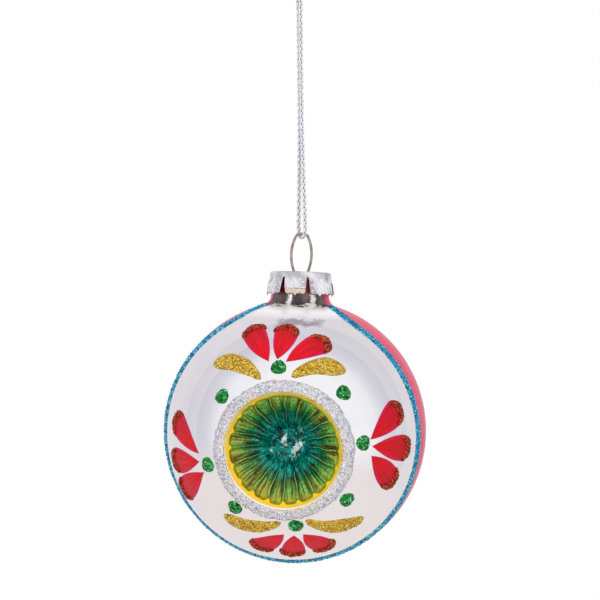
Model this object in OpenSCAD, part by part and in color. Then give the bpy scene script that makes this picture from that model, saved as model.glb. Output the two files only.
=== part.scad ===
// Round silvered glass ornament with a painted face, a fluted reflector, a metal cap and a hanging cord.
// Millimetres, Z up. The origin is the place that the cord hangs from, just under its knot.
// The painted face looks toward -Y and a little down.

/* [Glass] */
// Outside diameter of the ball
ball_d = 80; // [76:1:90]
// Wall of the blown glass
glass_wall = 0.8; // [0.6:0.1:1.2]
// How far the painted face looks down, in degrees
face_tilt = 7; // [2:1:9]
// Outside diameter of the neck
neck_d = 17.6; // [16:0.2:19]
// Height of the neck's rim above the top of the ball
neck_h = 8.5; // [8.2:0.1:11]
// Radius of the flare from the neck to the ball
neck_flare = 3.5; // [2.5:0.5:4.5]

/* [Reflector] */
// Diameter of the reflector's mouth
mouth_d = 35.2; // [32:0.2:39]
// Width of the plain lip between the mouth and the flutes, seen from the front
lip_w = 0.9; // [0.6:0.1:1.8]
// Depth of the lip
lip_depth = 1.2; // [0.8:0.1:2]
// Diameter of the well in the middle
well_d = 14.4; // [11:0.2:18]
// Diameter of the well's floor
floor_d = 10; // [6:0.2:10.4]
// Depth from the mouth to the flutes' inner ends
flute_depth = 9; // [6:0.2:11]
// Depth from the mouth to the well's floor
well_depth = 12.5; // [11.6:0.1:15]
// Number of flutes
flute_count = 20; // [16:1:24]
// How deep each flute is cut at its outer end
flute_cut = 1; // [0.6:0.1:1.4]

/* [Painting] */
// Thickness of a painted film
film = 0.12; // [0.08:0.02:0.2]
// Thickness of the silver coat inside the glass
silver_coat = 0.1; // [0.05:0.01:0.2]
// Width of the silver glitter ring around the mouth
ring_w = 3.2; // [2:0.1:3.4]
// Height of the ring, the leaves and the petal tips
glitter_h = 0.5; // [0.3:0.1:0.9]
// Diameter of a glitter dot
dot_d = 4.6; // [3:0.1:5]
// Height of a glitter dot
dot_h = 0.8; // [0.5:0.1:1.4]
// Width of a petal
petal_w = 7.6; // [6:0.2:8]
// Width of the glitter band on a petal's outer end
tip_w = 1.8; // [1:0.1:2.4]
// Widest part of a glitter leaf
leaf_w = 5.6; // [4:0.2:6]
// How far a leaf bows away from the reflector
leaf_bow = 1.8; // [0:0.1:2.2]
// Width of the glitter bead between the face and the back
bead_w = 1.9; // [1.6:0.1:2.6]
// Height of the bead
bead_h = 0.6; // [0.4:0.05:0.8]
// Angle from the bead's own axis to the bead, in degrees
bead_angle = 76; // [74:1:78]
// How far the bead's axis turns to the left of the face, in degrees
bead_turn = 3; // [0:0.5:5]
// How far the bead's axis looks down, in degrees
bead_tilt = 6; // [4:0.5:8]
// Turn from the top at which the bead leaves its circle for the neck, in degrees
bead_leave = 36; // [32:1:42]
// Turn around the neck from the front to each end of the bead, in degrees
bead_end_turn = 60; // [55:1:65]

/* [Cap] */
// Thickness of the cap's sheet metal
cap_sheet = 0.3; // [0.2:0.05:0.4]
// Clearance between the cap's wall and the neck
cap_fit = 0.3; // [0.25:0.05:0.5]
// Height of the cap
cap_h = 7.4; // [6:0.1:7.8]
// How far the flaps lean out at their lower ends
flap_lean = 1.25; // [0.5:0.05:2]
// Number of flaps
flap_count = 8; // [6:1:10]
// Width of a slit between two flaps, at its lower end
slit_w = 1.8; // [1:0.1:2.4]
// Height of the pointed tooth in the middle of a flap's edge
tooth_h = 0.9; // [0.4:0.1:1.4]
// Diameter of the hole for the wire
cap_hole_d = 5.6; // [5.4:0.1:8]

/* [Wire hanger] */
// Diameter of the wire
wire_d = 0.85; // [0.6:0.05:1]
// Outside width of the eye
eye_w = 7.15; // [6.8:0.05:9]
// Outside height of the eye above the cap
eye_h = 12.3; // [11.5:0.1:16]
// Height of the eye's widest place above the cap
eye_belly = 5.5; // [4.5:0.1:6]
// Bend radius at each side of the eye's top
eye_bend = 1.5; // [1.3:0.1:1.8]
// Straight length at the eye's top, which the cord carries
eye_pin = 1; // [0.6:0.1:1.2]
// Distance between the two legs at the cap
leg_gap = 4.2; // [3.6:0.1:4.4]
// Bend radius of each leg below the cap
leg_bend = 4; // [3:0.5:5]
// How far each leg leans out below the cap, in degrees
leg_lean = 14; // [8:1:16]
// Straight length of each leg below its bend
leg_l = 17; // [12:1:18]

/* [Cord] */
// Diameter of the cord
cord_d = 1.3; // [1:0.05:1.35]
// Gap between the cord's bight and the wire that it carries
bight_gap = 0.15; // [0.1:0.05:0.3]
// Turn of the cord's loop from the line of sight, in degrees
cord_turn = 28; // [20:1:30]
// How far the cord leans to the left, from the neck's axis to the place that it hangs from
cord_side = 3.3; // [0:0.1:4]
// Length of each tail above the knot
tail_l = 7; // [4:0.5:12]

/* [Hidden] */
$fn = 96;
// Sides of a circle where a thin piece needs a smoother ball
fine_sides = 400;
// Painted films and coats stand this far off the glass
film_gap = 0.03;
// The cap's top stands this far off the neck's rim
seat_gap = 0.05;
// Cutting shapes run past what they cut by this much
over = 1;

// One strand of the cord, from the bight to the knot: distance from the loop's middle line, and height
bight_bend = 2.6;
bight_z = -77.7;
strand = [
    [0, bight_z],
    [bight_bend * sin(30), bight_z + bight_bend * (1 - cos(30))],
    [bight_bend * sin(60), bight_z + bight_bend * (1 - cos(60))],
    [bight_bend, bight_z + bight_bend],
    [2.5, -72],
    [2.1, -66],
    [1.7, -60],
    [1.35, -54],
    [1.05, -48],
    [0.85, -42],
    [0.76, -36],
    [0.76, -28],
    [0.76, -20],
    [0.78, -12],
    [0.85, -6],
    [1.35, -2.5],
    [1.8, 0],
    [1.5, 2],
    [0.8, 4]
];
knot_z = 4;
// How far the cord has leaned over at a height
function cord_shift(z) = cord_side * z / bight_z;
// The whole loop, down one strand and up the other
loop_route = concat(
    [for (i = [len(strand) - 1 : -1 : 1]) [-strand[i][0], strand[i][1]]],
    strand
);

// Heights of the stack that hangs from the cord's bight
ball_r = ball_d / 2;
wire_r = wire_d / 2;
eye_z = bight_z + cord_d / 2 + bight_gap + wire_r;
cap_top_z = eye_z - (eye_h - wire_r);
rim_z = cap_top_z - cap_sheet - seat_gap;
ball_z = rim_z - neck_h - ball_r;

// Neck, measured from the ball's middle
neck_r = neck_d / 2;
bore_r = neck_r - glass_wall;
rim_h = ball_r + neck_h;
flare_plan = neck_r + neck_flare;
flare_h = sqrt(pow(ball_r + neck_flare, 2) - pow(flare_plan, 2));
flare_foot_r = flare_plan * ball_r / (ball_r + neck_flare);
flare_foot_h = flare_h * ball_r / (ball_r + neck_flare);

// Face directions and places on the ball: an angle from the face's middle, and a turn from the top
face_out = [0, -cos(face_tilt), -sin(face_tilt)];
face_up = [0, -sin(face_tilt), cos(face_tilt)];
face_right = [1, 0, 0];
function on_face(angle, turn) =
    cos(angle) * face_out + sin(angle) * (cos(turn) * face_up + sin(turn) * face_right);
function unit(v) = v / norm(v);

// Reflector
mouth_r = mouth_d / 2;
mouth_h = sqrt(pow(ball_r, 2) - pow(mouth_r, 2));
flute_r = mouth_r - lip_w;
well_r = well_d / 2;
floor_r = floor_d / 2;
back_wall = glass_wall + flute_cut;
// Points across each flute, rings along it, and how deep the ridges lie as a share of the flutes
flute_points = 6;
flute_rings = 6;
ridge_cut = 0.15;

// A length along the ball's surface, as an angle at its middle
function arc(length) = length / ball_r * 180 / PI;

ring_edge = asin((mouth_r + ring_w) / ball_r);
// The bare band between the ring and the bead
band = bead_angle - ring_edge;
// Glitter dots: name, gap from the ring, and turn from the top
dot_places = [
    ["top", 1.7, -5.3],
    ["upper_right", 1.7, 44.7],
    ["right", 0.6, 83.4],
    ["lower_right", 0.9, 127.6],
    ["bottom", 0.25, 170.6],
    ["lower_left", 0.25, 218.6],
    ["left", 0.65, 256.2],
    ["upper_left", 1.4, 308.4]
];
// Petal groups: name, then each petal's foot, as a length beyond the dots' row and a turn,
// and its outer end, as a share of the band and a turn
petal_groups = [
    ["top", [[1.8, 348.1], [0.74, 340.2]], [[2.2, 353.7], [0.67, 358.9]], [[1.3, 359.5], [0.56, 20.5]]],
    ["right", [[0.9, 82], [0.67, 70.1]], [[1.3, 86.7], [0.735, 91.6]], [[1.1, 93], [0.585, 109.7]]],
    ["bottom", [[2.4, 167.4], [0.63, 157.6]], [[2.4, 173.4], [0.64, 177.4]], [[1.8, 179.8], [0.57, 196.6]]],
    ["left", [[1.5, 264.1], [0.68, 280.6]], [[1.8, 258.6], [0.74, 258.5]], [[0.9, 251.2], [0.76, 241.7]]]
];
petals_each = 3;
// Leaves: name, then the fat end, as a share of the band and a turn,
// and the tail, as a length from the ring and a turn
leaf_places = [
    ["top_left", [0.518, 316.4], [1.2, 340.8]],
    ["top_right", [0.333, 36.4], [1.1, 4.5]],
    ["bottom_right", [0.466, 132.9], [1.2, 162.3]],
    ["bottom_left", [0.306, 220], [1.1, 181.3]]
];
leaf_steps = 24;
leaf_fat_at = 0.68;
leaf_tail_share = 0.25;

// Bead: its circle, and the two arcs that take it back to the neck's sides
bead_r = bead_w / 2;
bead_round = (pow(bead_r, 2) + pow(bead_h, 2)) / (2 * bead_h);
bead_stand = ball_r + bead_h - bead_round;
bead_out = [
    -sin(bead_turn) * cos(bead_tilt),
    -cos(bead_turn) * cos(bead_tilt),
    -sin(bead_tilt)
];
bead_up = unit(face_up - (face_up * bead_out) * bead_out);
bead_right = cross(bead_up, bead_out);
bead_end_plan = flare_foot_r + bead_r / 2;
function bead_start(side) =
    cos(bead_angle) * bead_out
    + sin(bead_angle) * (cos(bead_leave) * bead_up + side * sin(bead_leave) * bead_right);
function bead_end(side) = unit([
    side * bead_end_plan * sin(bead_end_turn),
    -bead_end_plan * cos(bead_end_turn),
    sqrt(pow(ball_r, 2) - pow(bead_end_plan, 2))
]);
// Axis of the arc that leaves the circle smoothly at its start and runs through its end
function arc_axis(side) =
    let (a = bead_start(side), b = bead_end(side))
    unit(a * ((bead_out * (b - a)) / (a * (b - a))) - bead_out);
// The back's colour stops short of the bead's far edge by this much
bead_margin = 0.25;
bead_half_angle = arc(bead_r + bead_margin);

// Cap, measured from its top
cap_r = neck_r + cap_fit + cap_sheet;
cap_round = 0.6;
flap_start = 1.6;
slit_top_w = 0.5;
small_tooth_h = 0.4;
flap_turn = -4;
// Teeth along a flap's edge: place across the flap's half width, and height
teeth = [
    [-0.75, small_tooth_h], [-0.5, 0], [-0.35, small_tooth_h], [-0.25, 0], [0, tooth_h],
    [0.25, 0], [0.35, small_tooth_h], [0.5, 0], [0.75, small_tooth_h]
];

// Wire: the eye's arcs meet smoothly
eye_half = eye_w / 2 - wire_r;
eye_top = eye_h - wire_r;
eye_drop = eye_top - eye_belly - eye_bend;
eye_in = eye_half - eye_pin / 2;
side_r = (pow(eye_in, 2) + pow(eye_drop, 2) - pow(eye_bend, 2)) / (2 * (eye_in - eye_bend));
side_angle = atan2(eye_drop, side_r - eye_in);
belly_r = (pow(eye_belly, 2) + pow(eye_half - leg_gap / 2, 2)) / (2 * (eye_half - leg_gap / 2));
belly_angle = asin(eye_belly / belly_r);
// Joints between bends lap over them by this much
joint_lap = 0.01;
// Middle of the bend below the cap
leg_bend_x = leg_gap / 2 + leg_bend * cos(belly_angle);
leg_bend_z = -leg_bend * sin(belly_angle);

// Knot
knot_r = 1.9;
knot_core = 1.75;
knot_lean = 20;
tail_lean = 14;

// Turns what is drawn along Z to stand along an axis, with Y toward a second direction
module along(axis, toward) {
    ez = unit(axis);
    ex = unit(cross(toward, ez));
    ey = cross(ez, ex);
    multmatrix([
        [ex.x, ey.x, ez.x, 0],
        [ex.y, ey.y, ez.y, 0],
        [ex.z, ey.z, ez.z, 0],
        [0, 0, 0, 1]
    ]) children();
}

module at_ball() {
    translate([cord_side, 0, ball_z]) children();
}

// The ball's sphere, grown by a film's distance
module ball(grow) {
    sphere(ball_r + grow);
}

// Swept tube: rings of sides points along the cord's route, which lies in one upright plane before it leans
function ring_along(p, t, r, sides, turn) =
    let (side = [cos(turn), sin(turn), 0], out = [sin(turn), -cos(turn), 0])
    let (normal = t[1] * out - t[0] * [0, 0, 1])
    [for (k = [0 : sides - 1])
        p[0] * out + [cord_shift(p[1]), 0, p[1]]
        + r * (cos(360 * k / sides) * side + sin(360 * k / sides) * normal)];

module planar_tube(route, r, sides, turn) {
    last = len(route) - 1;
    tangents = [for (i = [0 : last])
        i == 0 || i == last ? [0, i == 0 ? -1 : 1]
        : unit(unit(route[i + 1] - route[i]) + unit(route[i] - route[i - 1]))];
    points = [for (i = [0 : last]) each ring_along(route[i], tangents[i], r, sides, turn)];
    walls = [for (i = [0 : last - 1], k = [0 : sides - 1])
        let (n = (k + 1) % sides, a = i * sides, b = a + sides)
        each [[a + k, a + n, b + n], [a + k, b + n, b + k]]];
    ends = [for (k = [1 : sides - 2])
        each [[0, k + 1, k], [last * sides, last * sides + k, last * sides + k + 1]]];
    polyhedron(points, concat(walls, ends));
}

// Cord and knot
module cord() {
    color([0.82, 0.82, 0.85]) planar_tube(loop_route, cord_d / 2, 8, cord_turn);
}

module cord_knot() {
    wrap_r = knot_r - cord_d / 2;
    tail_foot = cord_d / 2 + film_gap;
    color([0.78, 0.78, 0.82])
    difference() {
        translate([cord_shift(knot_z), 0, knot_z + wrap_r]) rotate([0, 0, cord_turn]) {
            sphere(knot_core);
            rotate([knot_lean, 0, 0]) rotate_extrude() translate([wrap_r, 0]) circle(cord_d / 2);
            for (side = [-1, 1]) {
                translate([side * tail_foot, 0, 0]) rotate([0, side * tail_lean, 0])
                    cylinder(d = cord_d, h = knot_core + tail_l);
            }
        }
        translate([-ball_r, -ball_r, knot_z - ball_d]) cube(ball_d);
    }
}

// Wire hanger
module wire_arc(r, start, angle) {
    rotate([90, 0, 0]) rotate([0, 0, start])
        rotate_extrude(angle = angle) translate([r, 0]) circle(wire_r);
}

// A round joint between two bends
module wire_joint(x, z) {
    translate([x, 0, z]) sphere(wire_r + joint_lap);
}

module half_wire() {
    translate([eye_pin / 2, 0, eye_top - eye_bend]) wire_arc(eye_bend, side_angle, 90 - side_angle);
    translate([eye_half - side_r, 0, eye_belly]) wire_arc(side_r, 0, side_angle);
    translate([eye_half - belly_r, 0, eye_belly]) wire_arc(belly_r, -belly_angle, belly_angle);
    translate([leg_bend_x, 0, leg_bend_z]) {
        wire_arc(leg_bend, 180 - belly_angle, belly_angle + leg_lean);
        rotate([0, -leg_lean, 0]) {
            translate([-leg_bend, 0, -leg_l]) cylinder(r = wire_r, h = leg_l);
            wire_joint(-leg_bend, 0);
        }
    }
    wire_joint(eye_pin / 2, eye_top);
    wire_joint(eye_pin / 2 + eye_bend * cos(side_angle), eye_top - eye_bend + eye_bend * sin(side_angle));
    wire_joint(eye_half, eye_belly);
    wire_joint(leg_gap / 2, 0);
}

module hanger_wire() {
    color([0.66, 0.61, 0.55]) translate([cord_side, 0, cap_top_z]) {
        translate([0, 0, eye_top]) rotate([0, 90, 0]) cylinder(r = wire_r, h = eye_pin, center = true);
        half_wire();
        mirror([1, 0, 0]) half_wire();
    }
}

// Cap
function cap_corner(r, a) = [cap_r - cap_round + r * cos(a), r * sin(a) - cap_round];

module cap_shell() {
    rotate_extrude() polygon(concat(
        [[cap_hole_d / 2, 0]],
        [for (a = [90 : -15 : 0]) cap_corner(cap_round, a)],
        [[cap_r, -flap_start], [cap_r + flap_lean, -cap_h]],
        [[cap_r + flap_lean - cap_sheet, -cap_h], [cap_r - cap_sheet, -flap_start]],
        [for (a = [0 : 15 : 90]) cap_corner(cap_round - cap_sheet, a)],
        [[cap_hole_d / 2, -cap_sheet]]
    ));
}

// What is cut away between two flaps and along one flap's lower edge, as seen from outside
module flap_cut_outline() {
    lap = slit_top_w / 4;
    high_edge = cap_r * sin(180 / flap_count);
    low_edge = (cap_r + flap_lean) * sin(180 / flap_count);
    low = -cap_h - over;
    base = -cap_h + tooth_h;
    corner = low_edge - slit_w / 2;
    polygon(concat(
        [[-high_edge - lap, -flap_start], [slit_top_w / 2 - high_edge, -flap_start], [-corner, base]],
        [for (t = teeth) [t[0] * corner, base - t[1]]],
        [[corner, base], [high_edge - slit_top_w / 2, -flap_start], [high_edge + lap, -flap_start]],
        [[low_edge + lap, -cap_h], [low_edge + lap, low], [-low_edge - lap, low], [-low_edge - lap, -cap_h]]
    ));
}

module cap() {
    color([0.8, 0.8, 0.83]) translate([cord_side, 0, cap_top_z]) difference() {
        cap_shell();
        for (i = [0 : flap_count - 1]) {
            rotate([90, 0, flap_turn + i * 360 / flap_count])
                translate([0, 0, neck_r - over])
                linear_extrude(cap_r + flap_lean - neck_r + 2 * over) flap_cut_outline();
        }
    }
}

// Reflector: the smooth hollow in the glass
module hollow() {
    rotate_extrude() translate([0, mouth_h]) polygon([
        [0, -well_depth - flute_cut], [floor_r, -well_depth - flute_cut], [well_r, -flute_depth - flute_cut],
        [flute_r, -lip_depth - flute_cut], [flute_r, -lip_depth], [mouth_r, 0],
        [mouth_r, ball_r], [0, ball_r]
    ]);
}

// The glass behind the hollow, as seen from inside the ball
module hollow_back(grow) {
    w = back_wall + grow;
    rotate_extrude() translate([0, mouth_h]) polygon([
        [0, -well_depth - w], [floor_r + w, -well_depth - w], [well_r + w, -flute_depth - w / 2],
        [mouth_r + w, -w / 2], [mouth_r + w, ball_r], [0, ball_r]
    ]);
}

// Glass
module neck_profile(grow) {
    difference() {
        polygon([
            [0, flare_foot_h - neck_flare], [flare_foot_r, flare_foot_h],
            [flare_plan, flare_h], [neck_r + grow, flare_h],
            [neck_r + grow, rim_h], [0, rim_h]
        ]);
        translate([flare_plan, flare_h]) circle(neck_flare - grow);
    }
}

// The space inside the glass, drawn in by an inset, up to a height on the neck
module inside(inset, top) {
    difference() {
        union() {
            sphere(ball_r - glass_wall - inset);
            cylinder(r = bore_r - inset, h = top);
        }
        along(face_out, face_up) hollow_back(inset);
    }
}

module glass_ball() {
    color([0.86, 0.86, 0.9]) at_ball() difference() {
        union() {
            ball(0);
            rotate_extrude() neck_profile(0);
        }
        inside(0, rim_h + over);
        along(face_out, face_up) hollow();
    }
}

module silver_lining() {
    top = flare_h;
    color([0.93, 0.93, 0.95]) at_ball() difference() {
        inside(film_gap, top);
        inside(film_gap + silver_coat, top + over);
    }
}

// Films on the glass
module skin(thick) {
    difference() {
        ball(film_gap + thick);
        ball(film_gap);
    }
}

// What lies in front of the bead's far edge
module bead_front() {
    cut_h = ball_r * cos(bead_angle + bead_half_angle);
    along(bead_out, bead_up) translate([0, 0, cut_h]) cylinder(r = ball_d, h = ball_d);
}

// The bare strip at the neck's foot, between the bead's two arcs
module bead_strip() {
    reach = bead_start(1) * ball_r;
    end = bead_end(1) * ball_r;
    difference() {
        translate([-reach.x, -ball_d, 0]) cube([2 * reach.x, ball_d + end.y, ball_d]);
        for (side = [-1, 1]) {
            axis = arc_axis(side);
            cut_h = (ball_r + film_gap + film) * cos(acos(axis * bead_start(side)) - bead_half_angle);
            along(axis, bead_up) translate([0, 0, cut_h]) cylinder(r = ball_d, h = ball_d);
        }
    }
}

// Room for the bead's two round ends
module bead_end_room() {
    for (side = [-1, 1]) {
        translate(ball_r * bead_end(side)) sphere(bead_r + bead_margin);
    }
}

module back_lacquer() {
    thick = film_gap + film;
    wrap = 360 - 2 * bead_end_turn;
    color([0.9, 0.24, 0.42]) at_ball() difference() {
        union() {
            difference() {
                skin(film);
                bead_front();
                bead_strip();
                cylinder(r = flare_foot_r, h = ball_d);
            }
            difference() {
                rotate([0, 0, bead_end_turn - 90]) rotate_extrude(angle = wrap) difference() {
                    neck_profile(thick);
                    neck_profile(film_gap);
                    translate([0, rim_h - cap_h / 2]) square([flare_plan, cap_h]);
                }
                ball(film_gap);
            }
        }
        bead_end_room();
    }
}

// The fluted face: rings of points from the rim to the well, over a smooth back that follows the glass
module reflector_lacquer() {
    sides = flute_count * flute_points;
    inner = flute_r - film_gap;
    radii = concat(
        [for (i = [0 : flute_rings]) inner + (well_r - inner) * i / flute_rings],
        [floor_r, floor_r / 2]
    );
    function base(r) =
        r >= well_r ? -lip_depth - (flute_r - r) * (flute_depth - lip_depth) / (flute_r - well_r)
        : r >= floor_r ? -flute_depth - (well_r - r) * (well_depth - flute_depth) / (well_r - floor_r)
        : -well_depth;
    // Flutes start at the rim and fade out in the well
    function scallop(k) = 1 - pow(2 * (k % flute_points) / flute_points - 1, 2);
    function depth(r, k) =
        r == inner ? 0
        : r < well_r ? flute_cut / 2
        : flute_cut * (ridge_cut + (1 - ridge_cut) * scallop(k));
    function turn(k) = 360 * k / sides;
    front = [for (r = radii, k = [0 : sides - 1])
        [r * sin(turn(k)), r * cos(turn(k)), mouth_h + base(r) - depth(r, k) + film]];
    back = [for (r = radii, k = [0 : sides - 1])
        [r * sin(turn(k)), r * cos(turn(k)), mouth_h + base(r) - flute_cut + seat_gap]];
    middle = mouth_h - well_depth;
    front_tip = [0, 0, middle - flute_cut / 2 + film];
    back_tip = [0, 0, middle - flute_cut + seat_gap];
    points = concat(front, [front_tip], back, [back_tip]);
    rows = len(radii);
    tip = rows * sides;
    under = tip + 1;
    function next(k) = (k + 1) % sides;
    quads = [for (i = [0 : rows - 2], k = [0 : sides - 1])
        let (a = i * sides + k, b = i * sides + next(k), c = a + sides, d = b + sides)
        each [[a, b, d], [a, d, c], [under + b, under + a, under + d], [under + d, under + a, under + c]]];
    fans = [for (k = [0 : sides - 1])
        let (a = (rows - 1) * sides + k, b = (rows - 1) * sides + next(k))
        each [[a, b, tip], [under + b, under + a, under + tip]]];
    edge = [for (k = [0 : sides - 1]) each [[next(k), k, under + k], [next(k), under + k, under + next(k)]]];
    color([0.1, 0.5, 0.36]) at_ball() along(face_out, face_up)
        polyhedron(points, concat(quads, fans, edge));
}

module lip_lacquer() {
    color([0.97, 0.72, 0.1]) at_ball() along(face_out, face_up)
        rotate_extrude() translate([0, mouth_h]) polygon([
            [flute_r, -lip_depth + film_gap], [mouth_r - film_gap, 0],
            [mouth_r - film_gap, film], [flute_r, -lip_depth + film_gap + film]
        ]);
}

module ring_glitter() {
    $fn = fine_sides;
    round_r = (pow(ring_w / 2, 2) + pow(glitter_h, 2)) / (2 * glitter_h);
    middle = asin((mouth_r + ring_w / 2) / ball_r);
    stand = ball_r + glitter_h - round_r;
    color([0.84, 0.85, 0.88]) at_ball() difference() {
        along(face_out, face_up) rotate_extrude()
            translate([stand * sin(middle), stand * cos(middle)]) circle(round_r);
        ball(film_gap);
    }
}

// Bead: its circle, its two arcs and their round ends
module bead_arc(side) {
    a = bead_start(side);
    b = bead_end(side);
    axis = arc_axis(side);
    ex = unit(a - (a * axis) * axis);
    ey = cross(axis, ex);
    span = atan2(b * ey, b * ex);
    open = acos(a * axis);
    along(axis, ey) rotate([0, 0, min(0, span)])
        rotate_extrude(angle = abs(span))
        translate([bead_stand * sin(open), bead_stand * cos(open)]) circle(bead_round);
    for (place = [a, b]) {
        translate(bead_stand * place) sphere(bead_round + joint_lap);
    }
}

module rim_bead() {
    $fn = fine_sides;
    color([0.05, 0.55, 0.72]) at_ball() difference() {
        union() {
            along(bead_out, bead_up) rotate([0, 0, 90 + bead_leave])
                rotate_extrude(angle = 360 - 2 * bead_leave)
                translate([bead_stand * sin(bead_angle), bead_stand * cos(bead_angle)]) circle(bead_round);
            bead_arc(1);
            bead_arc(-1);
        }
        ball(film_gap);
    }
}

// Glitter dots, petals and leaves
module dot(place) {
    $fn = fine_sides;
    round_r = (pow(dot_d / 2, 2) + pow(dot_h, 2)) / (2 * dot_h);
    color([0.05, 0.5, 0.2]) at_ball() difference() {
        translate((ball_r + dot_h - round_r) * on_face(ring_edge + arc(place[1] + dot_d / 2), place[2]))
            sphere(round_r);
        ball(film_gap);
    }
}

// A flat outline laid on the ball between two places, its Y toward the second
module painted(from, to, thick) {
    at_ball() difference() {
        intersection() {
            ball(film_gap + thick);
            along(from + to, to - from) linear_extrude(ball_d) children();
        }
        ball(film_gap);
    }
}

// A place in the band, by a length from the ring's edge or by a share of the band
function from_ring(length, turn) = on_face(ring_edge + arc(length), turn);
function in_band(share, turn) = on_face(ring_edge + share * band, turn);
function petal_foot(g, k) = from_ring(dot_d + g[k][0][0], g[k][0][1]);
function petal_end(g, k) = in_band(g[k][1][0], g[k][1][1]);
function chord(a, b) = ball_r * norm(b - a);

// Two long arcs from the pointed foot to the shoulders
module petal_outline(length) {
    half = petal_w / 2;
    shoulder = length - half;
    side_arc = (pow(half, 2) + pow(shoulder, 2)) / petal_w;
    intersection_for (side = [-1, 1]) {
        translate([side * (side_arc - half), shoulder]) circle(side_arc);
    }
}

// The band on the outer end
module tip_outline(length) {
    r = petal_w / 2;
    translate([0, length - r]) difference() {
        circle(r);
        translate([0, -tip_w]) circle(r);
    }
}

// What is cut off a petal's outer end to leave room for the band
module tip_room(length) {
    r = petal_w / 2;
    translate([0, length - r]) difference() {
        translate([-length, -tip_w / 2]) square(2 * length);
        translate([0, -tip_w]) circle(r - film_gap);
    }
}

module petal(g, k) {
    a = petal_foot(g, k);
    b = petal_end(g, k);
    length = chord(a, b);
    color([0.8, 0.06, 0.16]) painted(a, b, film) translate([0, -length / 2]) difference() {
        petal_outline(length);
        tip_room(length);
    }
}

module petal_tip(g, k) {
    a = petal_foot(g, k);
    b = petal_end(g, k);
    length = chord(a, b);
    color([0.7, 0.16, 0.08]) painted(a, b, glitter_h) translate([0, -length / 2])
        tip_outline(length);
}

// Half width of a leaf along its length, from the tail to the fat end
function leaf_half(s) =
    leaf_w / 2 * (s < leaf_fat_at
        ? 1 - (1 - leaf_tail_share) * pow(1 - s / leaf_fat_at, 1.6)
        : sqrt(1 - pow((s - leaf_fat_at) / (1 - leaf_fat_at), 2)));
function leaf_edge(length, s, side) = [
    leaf_bow * (1 - pow(2 * s - 1, 2)) + side * leaf_half(s),
    length * (0.5 - s)
];

module leaf(place) {
    fat = in_band(place[1][0], place[1][1]);
    tail = from_ring(place[2][0], place[2][1]);
    length = chord(fat, tail);
    away = -sign(cross(tail - fat, fat + tail) * face_out);
    outline = concat(
        [for (i = [0 : leaf_steps]) leaf_edge(length, i / leaf_steps, 1)],
        [for (i = [leaf_steps - 1 : -1 : 0]) leaf_edge(length, i / leaf_steps, -1)]
    );
    color([0.85, 0.68, 0.12]) painted(fat, tail, glitter_h)
        polygon([for (p = outline) [away * p.x, p.y]]);
}

cord();
cord_knot();
hanger_wire();
cap();
glass_ball();
silver_lining();
back_lacquer();
reflector_lacquer();
lip_lacquer();
ring_glitter();
rim_bead();
for (d = dot_places) {
    dot(d);
}
for (g = petal_groups, k = [1 : petals_each]) {
    petal(g, k);
    petal_tip(g, k);
}
for (l = leaf_places) {
    leaf(l);
}
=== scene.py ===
import random
from math import acos, asin, atan2, cos, degrees, exp, hypot, pi, radians, sin, sqrt, tan, tau

import bmesh
import bpy
from bmesh import ops
from mathutils import Matrix, Quaternion, Vector
from mathutils.kdtree import KDTree
from mathutils.noise import noise, voronoi


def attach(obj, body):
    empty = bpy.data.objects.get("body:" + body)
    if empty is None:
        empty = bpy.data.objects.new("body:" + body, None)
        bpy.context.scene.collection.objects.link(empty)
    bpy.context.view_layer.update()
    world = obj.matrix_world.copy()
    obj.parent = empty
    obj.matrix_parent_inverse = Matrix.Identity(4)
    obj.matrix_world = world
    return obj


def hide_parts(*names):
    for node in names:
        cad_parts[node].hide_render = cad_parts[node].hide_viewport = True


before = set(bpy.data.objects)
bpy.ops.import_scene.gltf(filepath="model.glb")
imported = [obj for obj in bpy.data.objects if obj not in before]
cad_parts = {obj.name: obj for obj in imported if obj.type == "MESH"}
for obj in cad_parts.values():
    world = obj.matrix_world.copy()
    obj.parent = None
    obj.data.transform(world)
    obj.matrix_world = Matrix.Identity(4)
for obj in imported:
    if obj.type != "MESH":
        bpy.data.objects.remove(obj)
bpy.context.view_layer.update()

scene = bpy.context.scene

# Sizes in millimetres, as in the part
MM = 0.001
CORD_SIDE = 3.3
BALL_R = 40.0
BALL_MID = Vector((CORD_SIDE, 0, -137.2))
FACE_TILT = radians(7)
NECK_R = 8.8
NECK_TOP = 48.5
FLARE_R = 3.5
GLASS_WALL = 0.8
MOUTH_R = 17.6
MOUTH_UP = sqrt(BALL_R ** 2 - MOUTH_R ** 2)
FLUTE_R = 16.7
FLUTES = 20
WELL_R = 7.2
FLOOR_R = 5.0
LIP_DEPTH = 1.2
FLUTE_DEPTH = 9.0
WELL_DEPTH = 12.5
RING_W = 3.2
GLITTER_H = 0.5
DOT_D = 4.6
DOT_H = 0.8
PETAL_W = 7.6
LEAF_W = 5.6
LEAF_BOW = 1.8
LEAF_FAT_AT = 0.68
LEAF_TAIL_SHARE = 0.3
BEAD_W = 1.9
BEAD_ANGLE = 76
BEAD_LEAVE = radians(36)
BEAD_TURN = radians(3)
BEAD_TILT = radians(6)
END_TURN = radians(60)
CAP_TOP = -88.35
CAP_R = 9.4
CAP_H = 7.4
CAP_ROUND = 0.6
CAP_HOLE_R = 2.8
FLAPS = 8
FLAP_TURN = radians(-4)
FLAP_START = 1.6
FLAP_LEAN = 1.25
TOOTH_H = 0.9
WIRE_R = 0.425
CORD_D = 1.3
CORD_TURN = radians(28)
BIGHT_Z = -77.7
KNOT_Z = 4.0


def ease(low, high, x):
    t = min(1.0, max(0.0, (x - low) / (high - low)))
    return t * t * (3 - 2 * t)


def between(stops, x):
    """What a table of places and values gives at a place."""
    for (x0, y0), (x1, y1) in zip(stops, stops[1:]):
        if x <= x1:
            return y0 + (y1 - y0) * (x - x0) / (x1 - x0)
    return stops[-1][1]


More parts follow.
